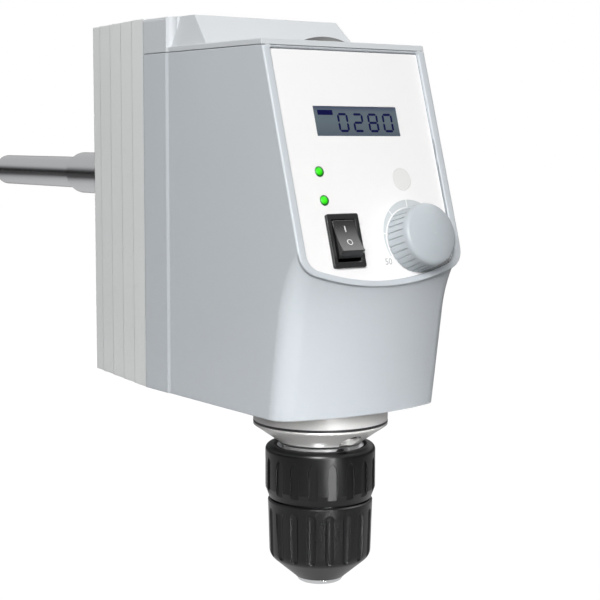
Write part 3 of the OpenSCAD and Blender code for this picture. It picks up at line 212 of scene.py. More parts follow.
class Finish:
    """A material under construction: its nodes, its shader and its usual patterns."""

    def __init__(self, name, colour, roughness, metallic=0.0, **constants):
        self.material = bpy.data.materials.new(name)
        self.material.use_nodes = True
        self.tree = self.material.node_tree
        self.shader = next(n for n in self.tree.nodes if n.type == "BSDF_PRINCIPLED")
        self.colour = colour
        self.set("Base Color", colour)
        self.set("Roughness", roughness)
        self.set("Metallic", metallic)
        for key, value in constants.items():
            self.set(key.replace("_", " "), value)
        self.place = self.node("ShaderNodeTexCoord").out("Object")

    def set(self, socket, term):
        connect(self.tree, term, self.shader.inputs[socket])

    def node(self, kind, settings=None, **terms):
        """Adds a node: its settings first, then the values or links of its sockets by name."""
        node = self.tree.nodes.new(kind)
        for key, value in (settings or {}).items():
            if key == "stops":
                ramp = node.color_ramp
                while len(ramp.elements) < len(value):
                    ramp.elements.new(0.5)
                for element, (position, colour) in zip(ramp.elements, value):
                    element.position, element.color = position, colour
            else:
                setattr(node, key, value)
        for key, term in terms.items():
            slot = key.replace("_", " ")
            target = next(s for s in node.inputs if s.name == slot and s.enabled)
            connect(self.tree, term, target)
        return Node(self.tree, node)

    def stretched(self, scale):
        """Object coordinates times a scale for each axis."""
        return self.node("ShaderNodeMapping", Vector=self.place, Scale=scale).out("Vector")

    def noise(self, scale, detail=2.0, stretch=None, rough=0.5):
        """Noise value about 0.5 at a number of cells per metre."""
        vector = self.stretched(stretch) if stretch else self.place
        return self.node("ShaderNodeTexNoise", Vector=vector, Scale=scale, Detail=detail,
                         Roughness=rough).out("Fac")

    def mix(self, factor, low, high):
        """Colour between two colours."""
        node = self.node("ShaderNodeMix", {"data_type": "RGBA"})
        connect(self.tree, factor, node.raw.inputs["Factor"])
        connect(self.tree, low, [s for s in node.raw.inputs if s.name == "A" and s.enabled][0])
        connect(self.tree, high, [s for s in node.raw.inputs if s.name == "B" and s.enabled][0])
        return Wire(self.tree, [s for s in node.raw.outputs if s.enabled][0])

    def tinted(self, factor, amount):
        """Base colour that drifts darker by an amount as the factor falls."""
        darker = tuple(c * (1 - amount) for c in self.colour[:3]) + (1.0,)
        self.set("Base Color", self.mix(factor, darker, self.colour))

    def relief(self, height, distance, strength=1.0, round_edges=0.0):
        """Bump from a height, over edges that a Bevel node rounds where a radius is given."""
        terms = {"Height": height, "Distance": distance, "Strength": strength}
        if round_edges:
            bevel = self.node("ShaderNodeBevel", {"samples": 6}, Radius=round_edges)
            terms["Normal"] = bevel.out("Normal")
        self.set("Normal", self.node("ShaderNodeBump", None, **terms).out("Normal"))


class Node:
    """A node just made, with its outputs by name."""

    def __init__(self, tree, raw):
        self.tree, self.raw = tree, raw

    def out(self, name):
        return Wire(self.tree, next(s for s in self.raw.outputs if s.name == name and s.enabled))


def moulded(name, colour, roughness=0.42, grain=2600, depth=0.00003, drift=0.05, edge=0.0006,
            **constants):
    """Moulded plastic: fine spark-eroded grain, and a faint drift of tone and gloss."""
    finish = Finish(name, colour, roughness, **constants)
    fine = finish.noise(grain, 3.0)
    broad = finish.noise(18, 2.0)
    finish.tinted(broad, drift)
    finish.set("Roughness", broad * 0.10 + fine * 0.08 + (roughness - 0.09))
    finish.relief(fine, depth, 0.35, edge)
    return finish.material


def powder_coat(name, colour, edge=0.0006):
    """Powder coat on a casting: soft orange peel, with a faint drift of tone."""
    finish = Finish(name, colour, 0.38)
    peel = finish.noise(900, 2.0)
    broad = finish.noise(14, 2.0)
    finish.tinted(broad, 0.04)
    finish.set("Roughness", broad * 0.12 + 0.33)
    finish.relief(peel, 0.00006, 0.25, edge)
    return finish.material


def lacquer(name, colour, edge=0.0004):
    """Silver lacquer: metal flakes in a clear coat."""
    finish = Finish(name, colour, 0.38, 0.15, Coat_Weight=0.25, Coat_Roughness=0.2)
    flakes = finish.node("ShaderNodeTexVoronoi", Vector=finish.place, Scale=9000.0).out("Color")
    grey = finish.node("ShaderNodeRGBToBW", Color=flakes).out("Val")
    finish.tinted(grey, 0.12)
    finish.set("Roughness", grey * 0.14 + 0.34)
    finish.relief(finish.noise(1500, 2.0), 0.00002, 0.3, edge)
    return finish.material


def turned(name, colour, roughness=0.28, centre=(0.0, 0.0, 0.0), axis="Z", edge=0.0003, depth=0.000012):
    """Turned metal: fine tool rings about an axis, as noise on the height and the radius."""
    finish = Finish(name, colour, roughness, 1.0)
    shifted = finish.node("ShaderNodeMapping", Vector=finish.place,
                          Location=tuple(-c for c in centre)).out("Vector")
    parts = finish.node("ShaderNodeSeparateXYZ", Vector=shifted)
    along = parts.out(axis)
    first, second = [parts.out(a) for a in "XYZ" if a != axis]
    radius = (first * first + second * second) ** 0.5
    rings = finish.node("ShaderNodeTexNoise", {"noise_dimensions": "1D"}, W=(along + radius * 0.8) * 9000,
                        Scale=1.0, Detail=3.0).out("Fac")
    smear = finish.noise(60, 2.0)
    finish.tinted(smear, 0.10)
    finish.set("Roughness", rings * 0.16 + smear * 0.08 + (roughness - 0.1))
    finish.relief(rings, depth, 0.4, edge)
    return finish.material


def brushed(name, colour, roughness=0.32, stretch=(1.0, 1.0, 0.04), edge=0.0003):
    """Brushed or ground metal: noise drawn out along one axis."""
    finish = Finish(name, colour, roughness, 1.0)
    grain = finish.noise(5000, 3.0, stretch)
    smear = finish.noise(45, 2.0)
    finish.tinted(grain, 0.12)
    finish.set("Roughness", grain * 0.2 + smear * 0.1 + (roughness - 0.12))
    finish.relief(grain, 0.00001, 0.4, edge)
    return finish.material


def glossy(name, colour, roughness=0.18, edge=0.0005, wear=0.06):
    """Gloss plastic: a smooth skin with faint smears in its gloss."""
    finish = Finish(name, colour, roughness)
    smear = finish.noise(90, 3.0)
    finish.tinted(smear, 0.10)
    finish.set("Roughness", smear * wear * 2 + (roughness - wear))
    finish.relief(finish.noise(700, 2.0), 0.00001, 0.3, edge)
    return finish.material


def ink(name, colour, roughness=0.5):
    """Screen print: flat ink with a fine tooth."""
    finish = Finish(name, colour, roughness)
    tooth = finish.noise(6000, 2.0)
    finish.tinted(tooth, 0.05)
    finish.set("Roughness", tooth * 0.15 + (roughness - 0.07))
    return finish.material


def dress(node, material):
    """Puts one finish on every material slot of a CAD node."""
    for slot in frame["nodes"][node].material_slots:
        slot.material = material


def sizes():
    """Lengths that the sidebar shows."""
    return bpy.context.scene.stirrer_sizes


def colours():
    """Colours that the sidebar shows."""
    return bpy.context.scene.stirrer_colours


def paint(name):
    """A colour property as a linear colour with alpha."""
    return tuple(getattr(colours(), name)) + (1.0,)


def colour_property(name, description, rgb):
    return bpy.props.FloatVectorProperty(name=name, description=description, subtype="COLOR", size=3,
                                         min=0.0, max=1.0, default=linear(*rgb)[:3])


def length_property(name, description, default):
    return bpy.props.FloatProperty(name=name, description=description, default=default, min=0.0,
                                   unit="LENGTH", subtype="DISTANCE", precision=5)


class StirrerSizes(bpy.types.PropertyGroup):
    digit_height: length_property("Digit height", "Height of a display digit", 0.0077)
    digit_width: length_property("Digit width", "Width of a display digit", 0.0051)
    digit_pitch: length_property("Digit pitch", "Distance from one digit to the next", 0.0074)
    segment_width: length_property("Segment width", "Width of one bar of a digit", 0.00095)
    print_thickness: length_property("Print thickness", "How far a print stands proud", 0.00003)
    dial_inner: length_property("Dial radius", "Inner radius of the dial ring", 0.01345)
    dial_thick: length_property("Dial width", "Width of the dial ring at its thick end", 0.0027)
    number_height: length_property("Number height", "Height of the dial numbers", 0.0026)
    floor_drop: length_property("Floor drop", "Distance of the floor below the chuck", 0.16)


class StirrerColours(bpy.types.PropertyGroup):
    shell: colour_property("Shell", "Moulded front shell", (205, 211, 216))
    cover: colour_property("Top cover", "Moulded top cover", (211, 215, 218))
    casting: colour_property("Rear cover", "Coated rear cover", (253, 255, 255))
    label: colour_property("Label", "Face of the panel label", (249, 248, 248))
    knob: colour_property("Knob", "Speed knob", (186, 193, 198))
    dial: colour_property("Dial", "Dial ring print", (208, 213, 215))
    numbers: colour_property("Numbers", "Dial number print", (178, 179, 178))
    digits: colour_property("Digits", "Display digits", (8, 8, 62))
    silver: colour_property("Silver", "Lacquer of the collar and cap", (238, 237, 235))
    chuck: colour_property("Chuck", "Chuck sleeves", (8, 8, 9))


class STIRRER_OT_shells(bpy.types.Operator):
    """Finish the front shell, the top cover and the rear cover"""
    bl_idname = "stirrer.shells"
    bl_label = "Shells"

    def execute(self, context):
        dress("main_housing", moulded("Front shell plastic", paint("shell"), 0.40))
        dress("top_cover", moulded("Top cover plastic", paint("cover"), 0.38, Specular_IOR_Level=0.25))
        dress("rear_cover", powder_coat("Rear cover coating", paint("casting")))
        self.panel_rim()
        return {"FINISHED"}

    # Width of the rim at the sides, below and above, and the label's corner radii below and above.
    SIDE, BELOW, ABOVE = 3.4, 2.5, 0.9
    CORNER, TOP_CORNER = 6.6, 1.0
    # Height of the housing's lip over the label.
    LIP = 0.9
    # The rim ends this far inside the outline of the housing's lip.
    INSET = 0.2

    # Profile points: a share of the rim's width, a shift along the edge's normal, and a height over the lip.
    RIM_PROFILE = ((0, 0, -0.9), (0, 0, 0.12), (0, 0.07, 0.25), (0, 0.2, 0.34), (0, 0.4, 0.38),
                   (0.5, 0, 0.36), (1, -0.42, 0.38), (1, -0.22, 0.33), (1, -0.08, 0.22), (1, 0, 0.06),
                   (1, 0, -1.0), (0, -1.6, -4.6), (0, -1.6, -2.4))
    # The dark line at the label's foot: a painted shadow where the rim meets the label.
    SHADOW_LINE_PROFILE = ((0, -0.2, -0.9), (0, -0.2, -0.86), (0, 0.1, -0.86), (0, 0.1, -0.9))

    def bend(self, across, down, radius, first, last, steps):
        """Places and normals on an arc between two angles that are counted from straight down."""
        a = np.linspace(first, last, steps)
        way = np.column_stack([np.sin(a), -np.cos(a)])
        return np.hstack([way * radius + (across, -down), way])

    def line(self, start, end, way, steps):
        """Places on a straight line after its start, each with the same normal."""
        share = np.linspace(0, 1, steps)[1:, None]
        places = np.array(start) * (1 - share) + np.array(end) * share
        return np.hstack([places, np.tile(way, (steps - 1, 1))])

    def label_edge(self):
        """Places and normals round the label, in millimetres from the top of the panel's middle line.

        The edge is two straight sides, a shallow lower arc about a far centre, and corner arcs that touch
        both. The right half is made first and then mirrored.
        """
        corner, small = self.CORNER, self.TOP_CORNER
        edge, arc = PANEL_HALF_WIDTH - self.SIDE, PANEL_ARC_RADIUS - self.BELOW
        middle = PANEL_LENGTH - PANEL_ARC_RADIUS
        inner = edge - corner
        corner_down = middle + math.sqrt((arc - corner) ** 2 - inner ** 2)
        turn = math.asin(inner / (arc - corner))
        right = np.vstack([
            self.bend(0.0, middle, arc, 0.0, turn, 18),
            self.bend(inner, corner_down, corner, turn, np.pi / 2, 14)[1:],
            self.line((edge, -corner_down), (edge, -self.SIDE - small), (1.0, 0.0), 26),
            self.bend(edge - small, self.SIDE + small, small, np.pi / 2, np.pi, 7)[1:],
            self.line((edge - small, -self.SIDE), (0.0, -self.SIDE), (0.0, 1.0), 12)])
        loop = np.vstack([right, (right[1:-1] * (-1, 1, -1, 1))[::-1]])
        return loop[:, :2], loop[:, 2:]

    def sweep(self, name, profile, finish, slot, smooth):
        """Sweeps a profile round the label: the rim's width blends by the square of the normal's parts."""
        path, normals = self.label_edge()
        upright = np.where(normals[:, 1] < 0, self.BELOW, self.ABOVE)
        width = self.SIDE * normals[:, 0] ** 2 + upright * normals[:, 1] ** 2 - self.INSET
        rows = []
        for share, shift, lift in profile:
            flat = path + normals * (width * share + shift)[:, None] - (KNOB_CENTRE.x / MM, -KNOB_DOWN)
            rows.append(np.column_stack([flat, np.full(len(flat), self.LIP + lift)]))
        faces = grid_faces(len(profile), len(path), close_rows=True, close_columns=True).tolist()
        piece = add_mesh(name, on_plane(np.vstack(rows), panel_place(0, 0)), faces, finish, "housing", smooth)

    def panel_rim(self):
        """Raised rim round the label, wider at the sides than below, and a thin dark line at its foot that is
        a painted shadow.
        """
        plastic = moulded("Panel rim plastic", paint("shell"), 0.34, edge=0.0)
        # Painted shadow: a dark grey-blue ribbon along the label's edge, under the rim's inner wall.
        shade = ink("Label edge shade", linear(112, 122, 134))
        self.sweep("panel_rim", self.RIM_PROFILE, plastic, "grey_shell", smooth=True)
        self.sweep("label_edge", self.SHADOW_LINE_PROFILE, shade, "white_label", smooth=False)


class STIRRER_OT_label(bpy.types.Operator):
    """Finish the panel label and the mode button, and print the dial ring and its numbers"""
    bl_idname = "stirrer.label"
    bl_label = "Label"

    def execute(self, context):
        film = Finish("Label film", paint("label"), 0.42)
        peel = film.noise(1400, 2.0)
        film.tinted(film.noise(12, 1.0), 0.02)
        film.set("Roughness", peel * 0.1 + 0.38)
        film.relief(peel, 0.00001, 0.2)
        dress("control_panel", film.material)
        button = moulded("Mode button film", linear(235, 235, 233), 0.45, 3000, 0.00001, 0.02, 0.0002)
        dress("mode_button", button)
        self.dial_ring()
        self.numbers()
        return {"FINISHED"}

    def dial_ring(self):
        """Tapered ring in six parts: clockwise from the start of the dial the width grows smoothly."""
        inner, thick = sizes().dial_inner / MM, sizes().dial_thick / MM
        print_mm = sizes().print_thickness / MM
        start, end, parts, gap, samples = 205.0, -25.0, 6, 0.75, 25
        thin, lead, growth = 0.4, 10, 140
        step = (start - end) / parts
        shapes = []
        for k in range(parts):
            high, low = start - k * step, start - (k + 1) * step
            angle = np.linspace(high - (gap if k else 0), low + (gap if k < parts - 1 else 0), samples)
            share = np.clip((start + lead - angle) / growth, 0, 1)
            width = thin + thick * share * share * (3 - 2 * share)
            a = np.radians(angle)
            near = np.column_stack([inner * np.cos(a), inner * np.sin(a)])
            away = np.column_stack([(inner + width) * np.cos(a), (inner + width) * np.sin(a)])
            rows = np.stack([near, away])
            flat = rows.reshape(-1, 2)
            n = len(angle)
            points = np.vstack([np.column_stack([flat, np.zeros(2 * n)]),
                                np.column_stack([flat, np.full(2 * n, print_mm)])])
            i = np.arange(n - 1)
            top = np.stack([i, i + 1, i + n + 1, i + n], axis=1) + 2 * n
            base = top[:, ::-1] - 2 * n
            near_side = np.stack([i, i + 2 * n, i + 2 * n + 1, i + 1], axis=1)[:, ::-1]
            away_side = np.stack([i + n, i + n + 1, i + 3 * n + 1, i + 3 * n], axis=1)[:, ::-1]
            ends = [[0, 2 * n, 3 * n, n], [n - 1, 2 * n - 1, 4 * n - 1, 3 * n - 1]]
            shapes.append((points, np.vstack([top, base, near_side, away_side]).tolist() + ends))
        points, faces = join_shapes(shapes)
        piece = add_mesh("dial_ring", on_plane(points, panel_place(0, 0, PRINT_LIFT)), faces,
                         ink("Dial print", paint("dial")), "housing")

    def numbers(self):
        """Plain numbers at the two ends of the dial, each at an angle and a radius about the knob's axis."""
        font_share = 1.38
        finish = ink("Number print", paint("numbers"))
        for word, angle, radius in (("50", 209.5, 16.3), ("2000", -29.5, 17.2)):
            a = math.radians(angle)
            face = bpy.data.curves.new(f"number_{word}", "FONT")
            face.body, face.align_x, face.align_y = word, "CENTER", "CENTER"
            face.size = sizes().number_height * font_share
            face.extrude = sizes().print_thickness / 2
            face.resolution_u = 3
            lettering = bpy.data.objects.new(f"number_{word}_curve", face)
            bpy.context.scene.collection.objects.link(lettering)
            mesh = bpy.data.meshes.new_from_object(lettering)
            bpy.data.objects.remove(lettering)
            flat = np.array([v.co for v in mesh.vertices]).reshape(-1, 3) / MM
            faces = [list(p.vertices) for p in mesh.polygons]
            lift = sizes().print_thickness / 2 / MM + PRINT_LIFT
            place = panel_place(radius * math.cos(a), radius * math.sin(a), lift)
            piece = add_mesh(f"dial_number_{word}", on_plane(flat, place), faces, finish, "housing")


class STIRRER_OT_display(bpy.types.Operator):
    """Finish the display glass and its cell, with a painted shadow along the cell's top edge, and set the
    digits and the flag block on it
    """
    bl_idname = "stirrer.display"
    bl_label = "Display"

    # Bars that each digit shows: a on top, then clockwise to f, and g in the middle.
    SEGMENTS = {"0": "abcdef", "2": "abdeg", "8": "abcdefg"}
    # Gap at each end of a bar, and the thickness of the bars, in millimetres.
    PLAY = 0.12
    THICKNESS = 0.02
    # Place of the last digit and of the flag block's corner, from the middle of the window, and its size.
    LAST_DIGIT = (15.35, -0.5)
    BLOCK = (-18.6, 2.5)
    BLOCK_SIZE = (7.3, 2.0)
    # The digits lie on the cell, this far below the label.
    DIGIT_LEVEL = -0.298

    def bar(self, start, end, width):
        """Six-sided bar between two places, pointed at both ends."""
        start, end = np.array(start, float), np.array(end, float)
        run = (end - start) / np.linalg.norm(end - start)
        side = np.array([-run[1], run[0]]) * width / 2
        tip = run * width / 2
        return [start, start + tip - side, end - tip - side, end, end - tip + side, start + tip + side]

    def digit(self, word, middle):
        """Bars of one seven-segment digit about its middle."""
        w = sizes().segment_width / MM
        half_w = (sizes().digit_width / MM - w) / 2
        half_h = (sizes().digit_height / MM - w) / 2
        ends = {"a": ((-half_w, half_h), (half_w, half_h)), "g": ((-half_w, 0), (half_w, 0)),
                "d": ((-half_w, -half_h), (half_w, -half_h)), "f": ((-half_w, 0), (-half_w, half_h)),
                "b": ((half_w, 0), (half_w, half_h)), "e": ((-half_w, -half_h), (-half_w, 0)),
                "c": ((half_w, -half_h), (half_w, 0))}
        bars = []
        for key in self.SEGMENTS[word]:
            a, b = (np.array(p, float) + middle for p in ends[key])
            run = (b - a) / np.linalg.norm(b - a)
            bars.append(slab(self.bar(a + run * self.PLAY, b - run * self.PLAY, w), self.THICKNESS))
        return bars

    def execute(self, context):
        low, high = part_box("lcd_window")
        middle = (low + high) / 2
        offset = middle - KNOB_CENTRE
        across, up = offset.dot(PANEL_ACROSS) / MM, offset.dot(PANEL_UP) / MM
        ground = Finish("Display cell", linear(94, 108, 113), 0.3)
        parts = ground.node("ShaderNodeSeparateXYZ", Vector=ground.place)
        rise = (parts.out("Z") - low.z) / (high.z - low.z)
        grain = ground.noise(400, 2.0)
        # Painted shadow: the cell's colour turns dark along its top edge, as if shaded by the window's rim.
        # It is also darker towards the bottom.
        tone = ground.node("ShaderNodeValToRGB", {"stops": [
            (0.0, linear(66, 78, 92)), (0.22, linear(77, 89, 98)), (0.55, linear(86, 99, 106)),
            (0.84, linear(82, 94, 104)), (0.93, linear(62, 73, 94)), (1.0, linear(55, 64, 88))]},
            Fac=rise).out("Color")
        ground.set("Base Color", ground.mix(grain * 0.15, tone, linear(96, 110, 120)))
        ground.set("Roughness", grain * 0.1 + 0.3)
        dress("lcd_window", ground.material)
        dress("lcd_module", glossy("Display back", linear(120, 132, 130), 0.3))
        bars = []
        last = np.array([across + self.LAST_DIGIT[0], up + self.LAST_DIGIT[1]])
        for places_left, word in zip((3, 2, 1, 0), "0280"):
            bars += self.digit(word, last - (places_left * sizes().digit_pitch / MM, 0))
        block = np.array([across + self.BLOCK[0], up + self.BLOCK[1]])
        block_outline = block + self.BLOCK_SIZE * np.array([[0, 0], [1, 0], [1, 1], [0, 1]])
        bars.append(slab(block_outline, self.THICKNESS))
        points, faces = join_shapes(bars)
        film = moulded("Digit film", paint("digits"), 0.6, 3000, 0.0, 0.02, 0.0, Specular_IOR_Level=0.1)
        piece = add_mesh("display_digits", on_plane(points, panel_place(0, 0, self.DIGIT_LEVEL)), faces, film,
                         "housing")
        return {"FINISHED"}


class STIRRER_OT_lamps(bpy.types.Operator):
    """Finish the two indicator lamps: a green lens that glows, with painted shade on its lower right"""
    bl_idname = "stirrer.lamps"
    bl_label = "Lamps"

    # Centre of the bright disc from the middle of the lamp, and its half axes, across and upward, in metres.
    # The disc sits up and to the left, so the lens's lower right is painted shade.
    DISC_PLACE = (-0.00038, 0.0016)
    DISC_HALF = (0.001, 0.00096)

    def execute(self, context):
        for node in ("upper_led", "lower_led"):
            finish = Finish(f"Lamp lens {node[:5]}", linear(40, 235, 10), 0.4, Emission_Strength=0.12)
            parts = finish.node("ShaderNodeSeparateXYZ", Vector=finish.place)
            middle = centre_of(node)
            across = (parts.out("X") - (middle.x + self.DISC_PLACE[0])) / self.DISC_HALF[0]
            rise = (parts.out("Z") - (middle.z + self.DISC_PLACE[1])) / self.DISC_HALF[1]
            away = (across * across + rise * rise) ** 0.5
            # Colour and glow run from bright green in the disc to dark green beyond it. The glow is the
            # lamp's own, and the dark crescent below and to the right is painted shade.
            tone = finish.node("ShaderNodeValToRGB", {"stops": [
                (0.0, linear(58, 232, 6)), (0.46, linear(44, 220, 5)), (0.58, linear(22, 168, 4)),
                (0.68, linear(2, 96, 2)), (1.0, linear(0, 62, 2))]}, Fac=away * 0.4).out("Color")
            finish.set("Base Color", tone)
            finish.set("Emission Color", tone)
            finish.set("Roughness", finish.noise(500, 2.0) * 0.1 + 0.4)
            dress(node, finish.material)
        return {"FINISHED"}


class STIRRER_OT_switch(bpy.types.Operator):
    """Finish the rocker switch and print its two marks"""
    bl_idname = "stirrer.switch"
    bl_label = "Rocker switch"

    # Bar: half width, foot and head. Ring: height of its centre, outer radius, width. From the pivot, in mm.
    BAR = (0.26, 1.9, 4.3)
    RING = (-2.6, 1.25, 0.34)
    # The rocker's hollow face: its radius, the height of its two ends over the pivot, and its depth.
    FACE_RADIUS, FACE_LIFT, FACE_SAG = 27.6, 5.7, 0.8
    # How far a mark reaches into the face and out of it.
    SUNK, PROUD = 0.02, 0.03

    def execute(self, context):
        bezel = moulded("Bezel plastic", linear(19, 19, 21), 0.24, 2500, 0.00002, 0.1, 0.0005)
        dress("switch_bezel", bezel)
        dress("switch_rocker", glossy("Rocker plastic", linear(30, 30, 32), 0.22, 0.0004))
        finish = ink("Mark print", linear(238, 238, 236), 0.4)
        self.mark("on_mark", self.bar(9), False, finish)
        self.mark("off_mark", self.ring(48), True, finish)
        return {"FINISHED"}

    def bar(self, steps):
        """Left and right edge of the bar that runs up the face."""
        half, foot, head = self.BAR
        up = np.linspace(foot, head, steps)
        return np.stack([np.column_stack([np.full(steps, side), up]) for side in (-half, half)])

    def ring(self, steps):
        """Inner and outer edge of the ring."""
        rise, radius, width = self.RING
        a = np.linspace(0, 2 * np.pi, steps, endpoint=False)
        way = np.column_stack([np.cos(a), np.sin(a)])
        return np.stack([way * (radius - width), way * radius]) + (0.0, rise)

    def mark(self, name, rows, closed, finish):
        """Lifts a ribbon onto the hollow face, whose depth is that of a circle over the rocker's length."""
        pivot = Vector(JOINTS["power_rocker"]["pos_m"])
        half_swing = math.radians(JOINTS["power_rocker"]["range_deg"][1]) / 2
        lean = Matrix.Rotation(-half_swing, 3, PANEL_ACROSS)
        axes = np.array([lean @ PANEL_ACROSS, lean @ PANEL_UP, lean @ PANEL_OUT])
        flat = rows.reshape(-1, 2)
        hollow = self.FACE_RADIUS - np.sqrt(self.FACE_RADIUS ** 2 - flat[:, 1] ** 2)
        height = self.FACE_LIFT - self.FACE_SAG + hollow
        n, columns = len(flat), rows.shape[1]
        points = np.vstack([np.column_stack([flat, height - self.SUNK]),
                            np.column_stack([flat, height + self.PROUD])])
        top = grid_faces(2, columns, close_columns=closed) + n
        base = grid_faces(2, columns, close_columns=closed)[:, ::-1]
        i = np.arange(columns if closed else columns - 1)
        j = (i + 1) % columns
        inner = np.stack([i, i + n, j + n, j], axis=1)
        outer = np.stack([i + columns, j + columns, j + columns + n, i + columns + n], axis=1)
        faces = np.vstack([top, base, inner, outer]).tolist()
        if not closed:
            last = columns - 1
            faces += [[0, columns, n + columns, n], [last, last + n, last + columns + n, last + columns]]
        return add_mesh(name, on_plane(points, pivot, axes), faces, finish, "rocker")


class STIRRER_OT_knob(bpy.types.Operator):
    """Finish the speed knob and what holds it"""
    bl_idname = "stirrer.knob"
    bl_label = "Speed knob"

    def execute(self, context):
        dress("speed_knob", moulded("Knob plastic", paint("knob"), 0.36, 2600, 0.00002, 0.04, 0.0004))
        dress("knob_shaft", brushed("Knob shaft steel", linear(190, 191, 194)))
        dress("pot_nut", brushed("Nut steel", linear(185, 186, 190)))
        dress("potentiometer", glossy("Potentiometer body", linear(60, 66, 70), 0.3))
        return {"FINISHED"}


class STIRRER_OT_collar(bpy.types.Operator):
    """Finish the collar, the bearing cap and its screws, and fill the groove between collar and cap with a
    dark ring of painted shade
    """
    bl_idname = "stirrer.collar"
    bl_label = "Collar"

    def execute(self, context):
        silver = lacquer("Silver lacquer", paint("silver"))
        dress("spindle_housing", silver)
        dress("bearing_cap", silver)
        dress("cap_screws", turned("Black oxide screw", linear(50, 50, 53), 0.35))
        dress("flange_screws", turned("Zinc screw", linear(190, 192, 196), 0.3))
        self.gasket()
        return {"FINISHED"}

    def gasket(self):
        """Dark ring in the groove between collar and cap, painted shade that darkens the groove: a bevelled
        rectangle turned about their axis.
        """
        low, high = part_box("bearing_cap")
        middle = (low + high) / 2
        proud, bevel, steps = 0.04, 0.3, 144
        inner, outer, base, top = 24.0, (high.x - low.x) / 2 / MM + proud, -0.35, 0.82
        section = [(inner, top), (outer, top), (outer, base + bevel), (outer - bevel, base), (inner, base)]
        a = np.linspace(0, 2 * np.pi, steps, endpoint=False)
        rows = [np.column_stack([r * np.cos(a), r * np.sin(a), np.full(len(a), z)]) for r, z in section]
        points = on_plane(np.vstack(rows), (middle.x, middle.y, high.z), np.eye(3))
        faces = grid_faces(len(section), len(a), close_rows=True, close_columns=True).tolist()
        # Painted shade: a dark glossy ring fills the groove and covers its edge, so the groove reads as
        # shaded.
        rubber = glossy("Gasket rubber", linear(40, 40, 42), 0.5)
        piece = add_mesh("collar_gasket", points, faces, rubber, "housing")


class STIRRER_OT_chuck(bpy.types.Operator):
    """Finish the chuck: its sleeves, body, nut and jaws"""
    bl_idname = "stirrer.chuck"
    bl_label = "Chuck"

    def execute(self, context):
        sleeve = moulded("Chuck sleeve plastic", paint("chuck"), 0.3, 3200, 0.00003, 0.08, 0.0004,
                         Specular_IOR_Level=0.5)
        dress("chuck_rear_sleeve", sleeve)
        dress("chuck_front_sleeve", sleeve)
        centre = tuple(centre_of("chuck_body"))
        dress("chuck_body", turned("Chuck body steel", linear(236, 237, 239), 0.14, centre))
        dress("chuck_nut", turned("Chuck nut steel", linear(170, 171, 175), 0.3, centre))
        jaws = turned("Hardened jaw steel", linear(120, 120, 124), 0.3, centre)
        for node in ("jaw_1", "jaw_2", "jaw_3"):
            dress(node, jaws)
        return {"FINISHED"}


class STIRRER_OT_rod(bpy.types.Operator):
    """Finish the support rod, its socket and screws"""
    bl_idname = "stirrer.rod"
    bl_label = "Support rod"

    def execute(self, context):
        dress("support_rod", brushed("Polished rod", linear(214, 215, 218), 0.16, (1.0, 0.03, 1.0)))
        dress("rod_socket", brushed("Socket chrome", linear(216, 217, 220), 0.16, (1.0, 0.03, 1.0)))
        dress("socket_screws", turned("Socket screw steel", linear(185, 187, 190), 0.3, axis="Y"))
        dress("rod_set_screw", turned("Set screw steel", linear(60, 60, 63), 0.35))
        return {"FINISHED"}


class STIRRER_OT_rear(bpy.types.Operator):
    """Finish the power inlet and the screws of the rear face"""
    bl_idname = "stirrer.rear"
    bl_label = "Rear face"

    def execute(self, context):
        inlet = moulded("Inlet plastic", linear(30, 30, 32), 0.42, 2600, 0.00002, 0.08, 0.0004)
        dress("power_inlet", inlet)
        dress("inlet_pins", brushed("Pin brass", linear(205, 180, 110), 0.25))
        dress("inlet_screws", turned("Inlet screw steel", linear(185, 187, 190), 0.3, axis="Y"))
        dress("rear_cover_screws", turned("Cover screw steel", linear(60, 60, 63), 0.35, axis="Y"))
        dress("top_cover_screws", turned("Cover screw steel", linear(185, 187, 190), 0.3))
        return {"FINISHED"}


class STIRRER_OT_top(bpy.types.Operator):
    """Finish the passage through the top and its cap"""
    bl_idname = "stirrer.top"
    bl_label = "Passage"

    def execute(self, context):
        dress("passage_cap", moulded("Cap plastic", linear(28, 28, 30), 0.36, 2600, 0.00002, 0.08, 0.0004))
        dress("passage_tube", moulded("Tube plastic", linear(150, 155, 158), 0.45))
        return {"FINISHED"}


